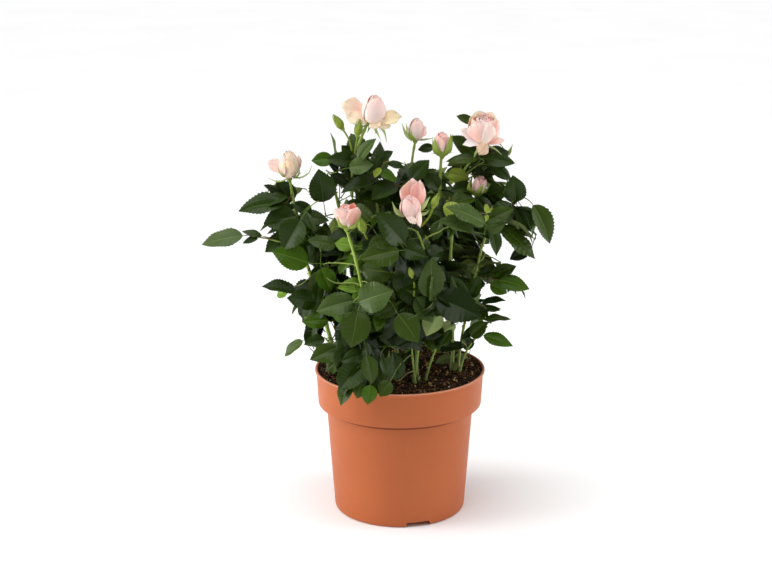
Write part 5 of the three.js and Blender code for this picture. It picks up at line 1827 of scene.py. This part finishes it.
def rose(name, centre, half, axis, openness, petals, kind="soft", sepals=None, spin=0.0, loose=(), laid=(), tight=0.0, cup=0.0, deep=0.0, hip=1.0, frill=0.0, dip=0.0):
    """A bloom within the given half sizes. openness: 0 a tight bud, 1 wide open. loose: fallen
    petals (foot, tip, facing, width, tint, curl, cup, crease). laid: sepals (points, width,
    facing). sepals: how five sepals are held, or None. tight: how far the lips close."""
    centre, half = np.array(centre, float), np.array(half, float)
    fr = basis(axis, spin)
    H = 2 * half[2]
    R = (half[0] + half[1]) / 2
    base = centre - unit(axis) * half[2] * 0.96
    pile, green = Pile(), Pile()
    golden = math.radians(137.5)
    top = 0.93 * H
    for i in range(petals):
        q = i / max(1, petals - 1)
        rm = R * (0.20 + 0.76 * q ** 0.85) * (0.94 + 0.06 * openness)
        h = top * (1.0 - 0.16 * q * (0.6 + 0.7 * openness)) * rng.uniform(0.97, 1.02)
        if cup:
            h = top * (1 - cup * (1 - q) ** 1.3) * rng.uniform(0.96, 1.02)
        h *= 1 - dip * q * max(0.0, -(fr[0] * math.cos(i * golden) + fr[1] * math.sin(i * golden))[1])
        close = (0.10 + 0.55 * q) * (1 - 0.62 * tight) + openness * (0.30 + 0.85 * q)
        lip = rm * min(1.30, close)
        roll = openness * q ** 2
        prof = [(0.10 * R, 0.0), (0.62 * rm + 0.03 * R, 0.11 * h), (0.96 * rm, 0.34 * h), (rm * (0.98 + 0.05 * openness), 0.58 * h), (0.52 * rm + 0.48 * lip, 0.84 * h), (lip + roll * rm * 0.10, h * (1 - 0.05 * roll))]
        if q > 0.5 and openness > 0.25 and not cup:
            prof.append((lip + rm * (0.10 + 0.20 * openness) * q, h * (1 - 0.06 * q - 0.05 * openness)))
        pink = (1 - q) * (0.85 + deep)
        if kind == "peach":
            belly = APRICOT * 0.35 + BLUSH_C * 0.45 + CREAM * 0.2
            lip_c = CREAM * 0.45 + APRICOT * 0.35 + PINK * 0.2
            edge = TAN * 0.25 + CREAM * 0.75
            if i % 3 == 1:
                belly, lip_c = BLUSH_C * 0.5 + PINK * 0.5, PINK * 0.6 + BLUSH_C * 0.4
        elif kind == "open":
            belly = (BLUSH_C * 0.8 + MILK * 0.2, PINK * 0.85 + CORAL * 0.1, BLUSH_C * 0.5 + PINK * 0.5)[i % 3]
            lip_c = (MILK * 0.5 + BLUSH_C * 0.5, PINK * 0.8 + CORAL * 0.1, BLUSH_C * 0.6 + PINK * 0.4)[i % 3]
            edge = BLUSH_C * 0.7 + PINK * 0.3 if q < 0.7 else CREAM * 0.55 + TAN * 0.45
        elif kind == "bright":
            belly = PINK * 0.55 + BLUSH_C * 0.45
            lip_c = PINK * (0.82 - 0.2 * q) + CORAL * 0.14 + BLUSH_C * 0.2 * q
            edge = BLUSH_C * 0.6 + PINK * 0.4
        else:
            belly = BLUSH_C * (0.6 + 0.25 * q) + PINK * (0.4 - 0.25 * q)
            lip_c = PINK * (0.5 + 0.2 * pink) + BLUSH_C * (0.5 - 0.2 * pink)
            edge = BLUSH_C * 0.6 + CREAM * 0.4
        belly = belly * (1 - 0.25 * pink) + (PINK * 0.7 + CORAL * 0.3) * 0.25 * pink
        if deep and q < 0.45:
            lip_c = lip_c * (1 - 0.5 * deep) + CORAL * 0.5 * deep
        wrap = math.radians(118 - 48 * q) if i > 1 else math.radians(150)
        petal(pile, base, fr, i * golden, prof, wrap, 0.13 * (1 - 0.5 * q) * (1 - 0.65 * tight), 0.012 + 0.03 * openness * q + frill,
              0.05 + 0.07 * openness + frill, (LIME * 0.35 + CREAM * 0.65, belly, lip_c, edge), drop=0.14 + 0.10 * q, nu=15 if q > 0.3 else 11, nv=13, band=0.9 if kind == "open" and q > 0.7 else 0.4)
    for foot, tip, face, width, tint, curl, hollow, crease in loose:
        loose_petal(pile, foot, tip, face, width, TINTS[tint], curl=curl, cup=hollow, crease=crease)
    pile.mesh("petals_" + name, [PETAL_MAT], slot="petal", stands_for=["bloom_" + name], sharp=0)
    receptacle(green, base + unit(axis) * 0.6, fr, max(2.6, 0.27 * R) * hip, max(5.0, 0.36 * R) * hip)
    if sepals is not None:
        for k in range(5):
            sepal(green, base + unit(axis) * 0.4, fr, k * 2 * math.pi / 5 + 0.5, max(2.2, 0.22 * R), rng.uniform(0.85, 1.1) * (10 + 0.42 * R), 5.0 + 0.06 * R, sepals + rng.uniform(-0.12, 0.12))
    for pts, width, face in laid:
        sepal_along(green, pts, width, face)
    green.mesh("sepals_" + name, LEAF_MATS, slot="flower_stalk", sharp=50)


def bud(pile, pts, size, open_tip=0.35):
    """A green bud: stalk, cup, an egg-shaped body of five closed sepals, and their drawn-out tip."""
    path = spline(np.array(pts, float), 2.0)
    axis = unit(path[-1] - path[-3])
    tube(pile, path, np.linspace(1.2, 0.9, len(path)) * (0.7 + 0.3 * size / 6), sides=7, mat=M_BUD)
    fr = basis(axis, rng.random() * 6)
    base = path[-1]
    receptacle(pile, base + axis * 2.0, fr, size * 0.36, size * 0.62)
    body = [(0, 1.2), (0.40 * size, 1.8), (0.66 * size, 0.50 * size + 1.2), (0.70 * size, 0.95 * size + 1.2), (0.50 * size, 1.55 * size + 1.2), (0.22 * size, 2.05 * size + 1.2), (0.10 * size, 2.5 * size + 1.2), (0, 2.62 * size + 1.2)]
    sub = Pile()
    lathe(sub, subdivided(np.array(body), 1.0), 20, wobble=lambda a, z: -0.07 * size * np.abs(np.sin(2.5 * a)) ** 0.5 * smooth01(1.5, size, z))
    pile.add(np.vstack(sub.v) @ fr + base, tris=np.vstack(sub.t), quads=np.vstack(sub.q), mt=M_BUD, mq=M_BUD)
    for k in range(5):      # the sepals' raised edges, and the tips of some standing off
        th = k * 2 * math.pi / 5
        rad = fr[0] * math.cos(th) + fr[1] * math.sin(th)
        free = open_tip * rng.random()
        line = bezier(base + axis * 2.0 + rad * 0.40 * size, base + axis * (0.75 * size + 1.2) + rad * 0.84 * size, base + axis * (1.9 * size) + rad * 0.50 * size, base + axis * (2.7 * size) + rad * (0.05 + free) * size, 9)
        tube(pile, line, np.array([0.5, 0.8, 0.9, 0.9, 0.8, 0.7, 0.55, 0.4, 0.2]) * size * 0.085, sides=5, mat=M_SEPAL)


rose("top_left", (-28.4, -2, 453.8), (15.4, 14.6, 17.6), (0.20, -0.06, 1), 0.06, 17, "soft", spin=0.4, tight=0.75,
     loose=[((-36, 4, 448), (-62.3, 2, 457.5), (0.30, -1, 0.35), 21, "dusty", 0.5, 0.18, 0.05),
            ((-36, -4, 439), (-57.5, -3, 446), (0.1, -1, 0.5), 15, "cream", 0.6, 0.10, 0.0),
            ((-26, -4, 439), (0.0, -6, 446), (-0.15, -0.9, 0.7), 17, "tan", 0.7, 0.14, 0.0),
            ((-27, -6, 439), (-11, -9, 436), (0.1, -1, 0.3), 12, "cream", 0.5, 0.10, 0.0),
            ((-30, -6, 441), (-25, -13, 434), (0.1, -1, 0.4), 15, "cream", 0.5, 0.14, 0.0),
            ((-32, 4, 440), (-38, 20, 452), (0.1, -0.4, 1), 19, "pale", 0.6, 0.14, 0.0)],
     laid=[([(-25, -4, 437), (-18, -8, 430), (-14.5, -8, 418)], 4.6, (0.6, -0.5, -0.2)), ([(-29, -5, 437), (-25, -10, 429), (-21, -11, 421)], 3.6, (0.2, -1, 0)),
           ([(-34, -1, 437), (-42, -3, 434), (-50, -2, 437)], 3.4, (0, -0.4, 1)), ([(-30, 4, 437), (-33, 12, 431), (-36, 16, 424)], 4.4, (0, 1, 0.3)), ([(-26, 3, 437), (-18, 9, 434), (-12, 13, 430)], 4.4, (0, 0.6, 0.8))])
rose("top_centre", (17.4, 5, 431), (10.4, 10.2, 13.6), (0.10, -0.08, 1), 0.05, 13, "soft", spin=1.2, tight=0.5,
     loose=[((19, 1, 420), (26.5, -1, 434), (-0.4, -1, 0.1), 12, "pink", 0.4, 0.22, 0.0)],
     laid=[([(13, 2, 419), (5.5, 0, 426), (1.7, 1, 437)], 7.0, (0.75, -0.6, 0.2)), ([(18, 2, 419), (26, 0, 419.5), (35, 1, 421.5)], 4.6, (0, -0.35, 1)),
           ([(15, -1, 419), (12, -8, 424), (11, -9, 433)], 4.6, (0.1, 1, 0.2)), ([(18, 8, 420), (22, 14, 427), (24, 15, 436)], 5.0, (-0.4, -1, 0)), ([(13, 8, 420), (8, 13, 427), (6, 15, 435)], 5.0, (0.4, -1, 0))])
rose("top_right", (44.8, -5, 417.6), (10.4, 10.2, 13.0), (0.0, -0.08, 1), 0.05, 13, "bright", spin=0.2, tight=0.1, hip=1.35,
     laid=[([(43, -9, 404), (37.5, -14, 411), (36.5, -13, 424)], 10.5, (0.5, 1, 0.1)), ([(47, -9, 404), (52.0, -14, 411), (53.5, -12, 427)], 10.5, (-0.6, 1, 0.1)),
           ([(45, 0, 404), (47, 6, 414), (46, 7, 427)], 8.0, (0, -1, 0.1)), ([(41, -3, 404), (35.5, -1, 411), (35, 0, 421)], 7.0, (1, -0.4, 0.1)), ([(49, -3, 404), (55, -1, 412), (55.5, 0, 425)], 7.0, (-1, -0.4, 0.1))])
rose("far_right", (90.4, 5, 429.8), (19.4, 18.2, 17.0), (0.02, -0.17, 1), 0.25, 26, "open", spin=0.9, cup=0.09, dip=0.17,
     loose=[((85.4, -11, 416.6), (78.6, -15, 440.5), (0.30, 1, 0.1), 22, "pink", -0.7, 0.26, 0.0),
            ((88.6, -12, 416.4), (95.6, -16.5, 440.0), (-0.12, 1, 0.05), 18, "pale", -0.7, 0.24, 0.0),
            ((93.9, -7, 417), (102.4, -7, 441.5), (-0.6, 0.8, 0.05), 14, "deep", -0.5, 0.24, 0.0),
            ((85, -6, 415.5), (65.2, -3, 431.6), (0.55, -0.8, 0.6), 16, "milk", 0.15, 0.20, 0.16),
            ((89, -11, 417.5), (67.0, -15, 417.2), (0.0, -0.7, 0.8), 11, "milk", 0.5, 0.14, 0.0),
            ((91, -11, 417.5), (84.2, -21, 407.6), (0.1, -1, 0.3), 15, "fawn", 0.6, 0.16, 0.08),
            ((92, -8, 416.4), (111.2, -8, 420.6), (0.0, -0.8, 0.7), 9, "pink", 0.4, 0.14, 0.0),
            ((92, 8, 416), (104, 22, 424), (-0.3, -0.5, 1), 18, "cream", 0.6, 0.14, 0.0), ((85, 9, 416), (76, 22, 423), (0.3, -0.5, 1), 17, "pale", 0.6, 0.14, 0.0)],
     laid=[([(94, -5, 414), (102, -8, 410.5), (108.5, -8, 405)], 3.4, (0, -0.4, 1)), ([(87, -8, 413), (81, -11, 408), (78, -10, 400)], 3.8, (0.3, -1, 0.2)),
           ([(88, 9, 414), (86, 20, 411), (84, 27, 405)], 4.6, (0, 0.4, 1)), ([(97, 8, 415), (107, 14, 413), (113, 16, 407)], 4.2, (0.4, 0.4, 1)), ([(81, 6, 415), (73, 12, 412), (67, 14, 408)], 4.2, (-0.4, 0.4, 1))])
rose("right_inner", (85.5, -2, 370.5), (9.2, 8.8, 12.0), (0.25, -0.20, 1), 0.05, 11, "bright", spin=0.7, tight=0.2,
     laid=[([(80, -5, 360), (74, -9, 367), (74.5, -9, 377)], 8.0, (0.6, 1, 0)), ([(84, -6, 359), (86, -12, 366), (89, -12, 374)], 7.0, (0, 1, 0.1)), ([(86, -2, 360), (92, -5, 364), (97, -6, 372)], 6.5, (-0.8, 0.6, 0.3)),
           ([(80, 1, 361), (76, 5, 370), (79, 6, 380)], 6.0, (0.5, -1, 0)), ([(84, 3, 361), (90, 8, 369), (94, 9, 379)], 6.0, (-0.5, -1, 0))])
rose("left", (-120.0, 0, 393.6), (13.2, 12.6, 16.6), (0.02, -0.06, 1), 0.06, 17, "peach", spin=2.6, tight=0.8, frill=0.035,
     loose=[((-125, -2, 385), (-142.6, -3, 397), (0.15, -1, 0.3), 15, "pale", 0.5, 0.18, 0.05),
            ((-116, -1, 379), (-110.0, -2, 402), (-0.8, 1, 0.0), 16, "pink", -0.3, 0.24, 0.0),
            ((-120, -7, 379), (-122, -12.5, 399), (0.1, 1, 0.0), 18, "apricot", -0.2, 0.22, 0.0),
            ((-118, 6, 379), (-116, 16, 398), (0.0, -1, 0.3), 18, "pale", 0.4, 0.2, 0.0)],
     laid=[([(-116, -1, 378), (-107, -4, 379), (-99, -4, 384), (-95.5, -3, 392)], 3.8, (-0.2, -0.3, 1)), ([(-120, -1, 378), (-131, -5, 374.5), (-143, -4, 378.5)], 2.8, (0, -0.3, 1)),
           ([(-121, -4, 378), (-128.5, -8, 383), (-131.5, -8, 390)], 4.4, (0.7, 0.6, 0.3)), ([(-115, -4, 378), (-109.5, -8, 383), (-108.5, -8, 391)], 4.6, (-0.7, 0.6, 0.3)), ([(-118, 4, 378), (-118, 12, 382), (-120, 15, 390)], 5.0, (0, -1, 0.5))])
rose("mid_left", (-56.2, -68, 351.4), (12.6, 12.0, 14.4), (0.03, -0.12, 1), 0.15, 17, "bright", spin=0.0, deep=0.6, tight=0.15, frill=0.02,
     loose=[((-56, -76, 341), (-68.4, -80, 361.5), (0.5, 1, 0.1), 18, "pink", 0.55, 0.24, 0.0),
            ((-53, -77, 341), (-45.2, -79.5, 362.6), (-0.4, 1, 0.1), 17, "rose", 0.15, 0.24, 0.0),
            ((-52, -74, 357), (-48.8, -76, 366.6), (0.0, -1, 0.2), 8, "coral", 0.2, 0.2, 0.0)],
     laid=[([(-56, -76, 339.4), (-63.0, -81.5, 343.8), (-65.8, -81, 353)], 7.0, (0.6, 1, 0.2)), ([(-53, -76, 339.4), (-46.6, -81.5, 343.8), (-43.6, -80, 352)], 7.0, (-0.6, 1, 0.2)),
           ([(-50, -66, 339), (-43, -63, 345), (-42, -62, 353)], 6.0, (-1, 0, 0.2)), ([(-60, -66, 339), (-67, -63, 345), (-68, -62, 352)], 6.0, (1, 0, 0.2)), ([(-54, -62, 339), (-54, -56, 345), (-54, -55, 353)], 6.0, (0, -1, 0.2))])
rose("centre", (9.6, -80, 365.0), (12.7, 12.2, 14.6), (-0.22, -0.30, 1), 0.02, 14, "bright", spin=2.6, tight=0.8,
     loose=[((10.5, -68, 354), (12.4, -66, 389.5), (0.05, -1, 0.25), 26, "rose", 0.1, 0.24, 0.05),
            ((16, -69, 354), (19.6, -68, 388.0), (-0.25, -1, 0.25), 19, "rose", 0.1, 0.22, 0.10),
            ((18, -82, 368), (19.6, -92, 345.0), (-0.5, -1, -0.2), 8, "pale", 0.2, 0.16, 0.0),
            ((5, -84, 357), (15.0, -91, 348.5), (0.0, -1, 0.5), 8, "pale", 0.3, 0.14, 0.0)],
     laid=[([(4, -72, 353), (-5, -76, 358), (-9.0, -75, 367.5)], 7.0, (0.6, -0.8, 0.2)), ([(16, -72, 357), (24, -76, 364), (30.0, -75, 373)], 7.0, (-0.4, -1, 0.3)),
           ([(18, -70, 353), (25, -70, 354), (30, -70, 358)], 4.5, (0, -1, 0.5)), ([(8, -66, 353), (4, -58, 362), (3, -57, 371)], 6.0, (0, -1, 0)), ([(16, -65, 353), (22, -58, 362), (24, -57, 371)], 6.0, (0, -1, 0))])

buds = Pile()
JOIN = np.array([-51.0, 8.0, 388.0])
bud(buds, [JOIN, (-52, 4, 405), (-55.6, 1, 420), (-61.9, 0, 431)], 7.0)
bud(buds, [JOIN, (-48.6, 1, 408), (-46.2, -3, 424.5)], 7.2)
bud(buds, [(-31, -64, 321), (-35.8, -74, 329), (-38.4, -80, 337.5)], 7.4)
bud(buds, [(22, -66, 340), (30, -72, 352), (33.5, -75, 362)], 6.2)
bud(buds, [(14, -82, 268), (14, -94, 284), (12, -97, 292)], 4.6)
bud(buds, [(-50, 90, 324), (-56, 98, 340), (-58, 102, 350)], 5.4)
bud(buds, [(48, 96, 318), (54, 106, 336), (58, 112, 346)], 5.0)
buds.mesh("flower_buds", LEAF_MATS, slot="flower_stalk", sharp=50)
# the stalk that the far right bloom stands on, among its leaves
carry = Pile()
path = spline([(66, 16, 378), (78, 14, 396), (87, 10, 412)], 2.0)
tube(carry, path, np.linspace(1.6, 1.4, len(path)), 9, age=np.full(len(path), 0.05), blush=np.full(len(path), 0.1))
carry.mesh("stalk_far_right", [BARK_MAT], slot="flower_stalk", sharp=60)


# ---------------------------------------------------------------- stage, light and camera
def stage_floor():
    bpy.ops.mesh.primitive_plane_add(size=40, location=(0, 0, 0))
    floor = bpy.context.object
    floor.name = "studio_floor"
    m, nt, p = shader("studio_floor_paper")
    n = noise(nt, 3.0, 2.0, 0.5, object_coords(nt))
    nt.links.new(ramp(nt, n.outputs["Fac"], [(0.3, (247, 247, 247)), (0.7, (250, 250, 250))]), p.inputs["Base Color"])
    p.inputs["Roughness"].default_value = 0.85
    p.inputs["Specular IOR Level"].default_value = 0.15
    floor.data.materials.append(m)


def softbox(name, where, at, size, power, colour=(1, 1, 1)):
    d = bpy.data.lights.new(name, "AREA")
    d.shape, d.size, d.size_y, d.energy, d.color = "RECTANGLE", size[0], size[1], power, colour
    o = bpy.data.objects.new(name, d)
    o.location = where
    o.rotation_euler = (Vector(at) - Vector(where)).to_track_quat("-Z", "Y").to_euler()
    bpy.context.scene.collection.objects.link(o)


stage_floor()
world = bpy.data.worlds.new("studio")
bpy.context.scene.world = world
world.use_nodes = True
world.node_tree.nodes["Background"].inputs["Color"].default_value = (1, 1, 1, 1)
world.node_tree.nodes["Background"].inputs["Strength"].default_value = 0.30
softbox("key_left", (-1.55, -0.22, 0.62), (0, 0, 0.24), (0.9, 1.3), 21)
softbox("fill_right", (1.55, -0.12, 0.62), (0, 0, 0.24), (0.8, 1.2), 11.5)
lamp = bpy.data.lights.new("top_soft", "SUN")
lamp.energy, lamp.angle = 2.46, math.radians(70)
top = bpy.data.objects.new("top_soft", lamp)
top.rotation_euler = Vector((0.16, 0.06, -1.0)).to_track_quat("-Z", "Y").to_euler()
bpy.context.scene.collection.objects.link(top)

cam = bpy.data.cameras.new("photo_view")
cam.sensor_fit, cam.sensor_width, cam.lens = "HORIZONTAL", 36.0, 1600.0 / 772.0 * 36.0
cam.clip_start, cam.clip_end = 0.05, 60
view = bpy.data.objects.new("photo_view", cam)
view.location = Vector(EYE) * 0.001
view.rotation_euler = (math.radians(90 - 15.63), 0, 0)
bpy.context.scene.collection.objects.link(view)
bpy.context.scene.camera = view
bpy.context.scene.view_settings.view_transform = "Standard"
